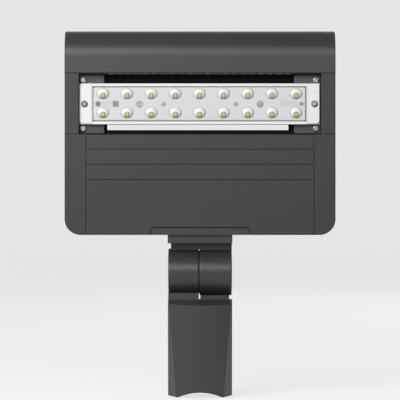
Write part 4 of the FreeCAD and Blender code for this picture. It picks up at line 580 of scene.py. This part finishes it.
def board_connectors():
    """Two-pole lead connectors at both ends of the board, and the temperature sensor."""
    points, faces, kinds = [], [], []
    low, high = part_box("board_connectors")
    ends = ((low.x, low.x + 14.5 * MM), (high.x - 25.0 * MM, high.x))
    sensor = (low.x + 15.7 * MM, low.x + 22.5 * MM)
    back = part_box("led_board")[0].y

    def block(left, right, near, far, z, half, bend, kind):
        a, b = (left, back - near, z - half), (right, back - far, z + half)
        kinds.extend([kind] * bevelled_block(a, b, bend, points, faces))

    block(*sensor, BLOCK_RISE, 0.0, middle_z, 3.3 * MM, 0.3 * MM, SENSOR)
    for left, right in ends:
        block(left, right, BLOCK_RISE, 0.0, middle_z, 4.0 * MM, 0.3 * MM, PALE)
        for z in (middle_z - POLE_OUT, middle_z + POLE_OUT):
            inner, end = left + 1.5 * MM, right - 2.0 * MM
            block(inner, end, 1.8 * MM, 1.2 * MM, z, 1.2 * MM, 0.15 * MM, PALE)
            inner, end = right - 1.8 * MM, right - 0.5 * MM
            block(inner, end, 1.75 * MM, 1.2 * MM, z, 0.7 * MM, 0.1 * MM, STEEL)
    finish = {"kinds": kinds, "others": [finishes["screw_steel"], sensor_black]}
    name, slot = "board_connector_set", "connector_pale"
    new_piece(name, points, faces, "head", slot, "board_connectors", **finish)


lens_plate()
led_chips()
board_connectors()

# Studio ------------------------------------------------------------------------------------------


FLOOR = -0.0068
WALL_FROM, WALL_BEND, WALL_TOP = 5.2, 1.2, 6.0
SWEEP_FRONT, SWEEP_HALF_WIDTH = -7.0, 8.0
PAPER_SHOWN = 0.72  # what is added to the paper where it is seen, also in gloss
WORLD_LEVEL = 0.22

# Lamps: name, place, width and height in metres, and power in watts.
LAMPS = (
    ("key", (-1.1, -1.7, 1.25), 1.1, 1.0, 35.0),
    ("front", (-0.3, -4.2, 1.9), 2.8, 2.2, 52.0),
    ("back", (2.2, 3.2, 1.3), 1.8, 1.6, 34.0),
)
CAMERA_PLACE = (-0.00006, -3.536, 0.24075)
CAMERA_LENS, CAMERA_SENSOR = 252.0, 36.0


def paper():
    """Pale matt paper that keeps the object's shadow."""
    sheet = Finish("sweep_paper", Specular_IOR_Level=0.1, Roughness=0.9, Emission_Strength=1.0)
    rays = ("Is Camera Ray", "Is Glossy Ray", "Is Transmission Ray")
    camera, mirrored, through = (sheet.node("ShaderNodeLightPath", {}, {}, ray) for ray in rays)
    fibre = sheet.noise(10 * MM, 2.0)
    return sheet.drive(
        Base_Color=sheet.mix(fibre, grey(0.24), grey(0.26)),
        Emission_Color=sheet.mix(camera.most(mirrored).most(through), grey(0.0), grey(PAPER_SHOWN)),
    )


def sweep():
    """A floor that curves up into a backdrop far behind."""
    profile = [(SWEEP_FRONT, FLOOR), (WALL_FROM, FLOOR)]
    for turn in np.linspace(0.1, math.pi / 2, 14):
        y, z = WALL_FROM + WALL_BEND * math.sin(turn), FLOOR + WALL_BEND * (1 - math.cos(turn))
        profile.append((y, z))
    profile.append((WALL_FROM + WALL_BEND, WALL_TOP))
    points = [(x, y, z) for y, z in profile for x in (-SWEEP_HALF_WIDTH, SWEEP_HALF_WIDTH)]
    faces = [(2 * k, 2 * k + 1, 2 * k + 3, 2 * k + 2) for k in range(len(profile) - 1)]
    mesh = bpy.data.meshes.new("sweep")
    mesh.from_pydata(points, [], faces)
    mesh.polygons.foreach_set("use_smooth", [True] * len(faces))
    mesh.materials.append(paper())
    made = bpy.data.objects.new("sweep", mesh)
    bpy.context.scene.collection.objects.link(made)


def softbox(name, where, width, height, power, aim):
    """A rectangular lamp turned towards a point."""
    lamp = bpy.data.lights.new(name, "AREA")
    lamp.shape = "RECTANGLE"
    lamp.size, lamp.size_y, lamp.energy = width, height, power
    made = bpy.data.objects.new(name, lamp)
    made.location = where
    made.rotation_euler = (aim - made.location).to_track_quat("-Z", "Y").to_euler()
    bpy.context.scene.collection.objects.link(made)


def studio():
    """World, paper, lamps and the camera straight in front of the lit face."""
    scene = bpy.context.scene
    scene.view_settings.view_transform = "Standard"
    world = bpy.data.worlds.new("studio")
    world.use_nodes = True
    world.node_tree.nodes["Background"].inputs["Color"].default_value = grey(WORLD_LEVEL)
    scene.world = world
    sweep()
    low, high = cad_box
    for lamp in LAMPS:
        softbox(*lamp, (low + high) / 2)
    camera = bpy.data.objects.new("camera", bpy.data.cameras.new("camera"))
    camera.data.sensor_width = CAMERA_SENSOR
    camera.data.lens = CAMERA_LENS
    camera.data.clip_start, camera.data.clip_end = 0.1, 50.0
    camera.location = CAMERA_PLACE
    camera.rotation_euler = (math.radians(90), 0.0, 0.0)
    scene.collection.objects.link(camera)
    scene.camera = camera


studio()
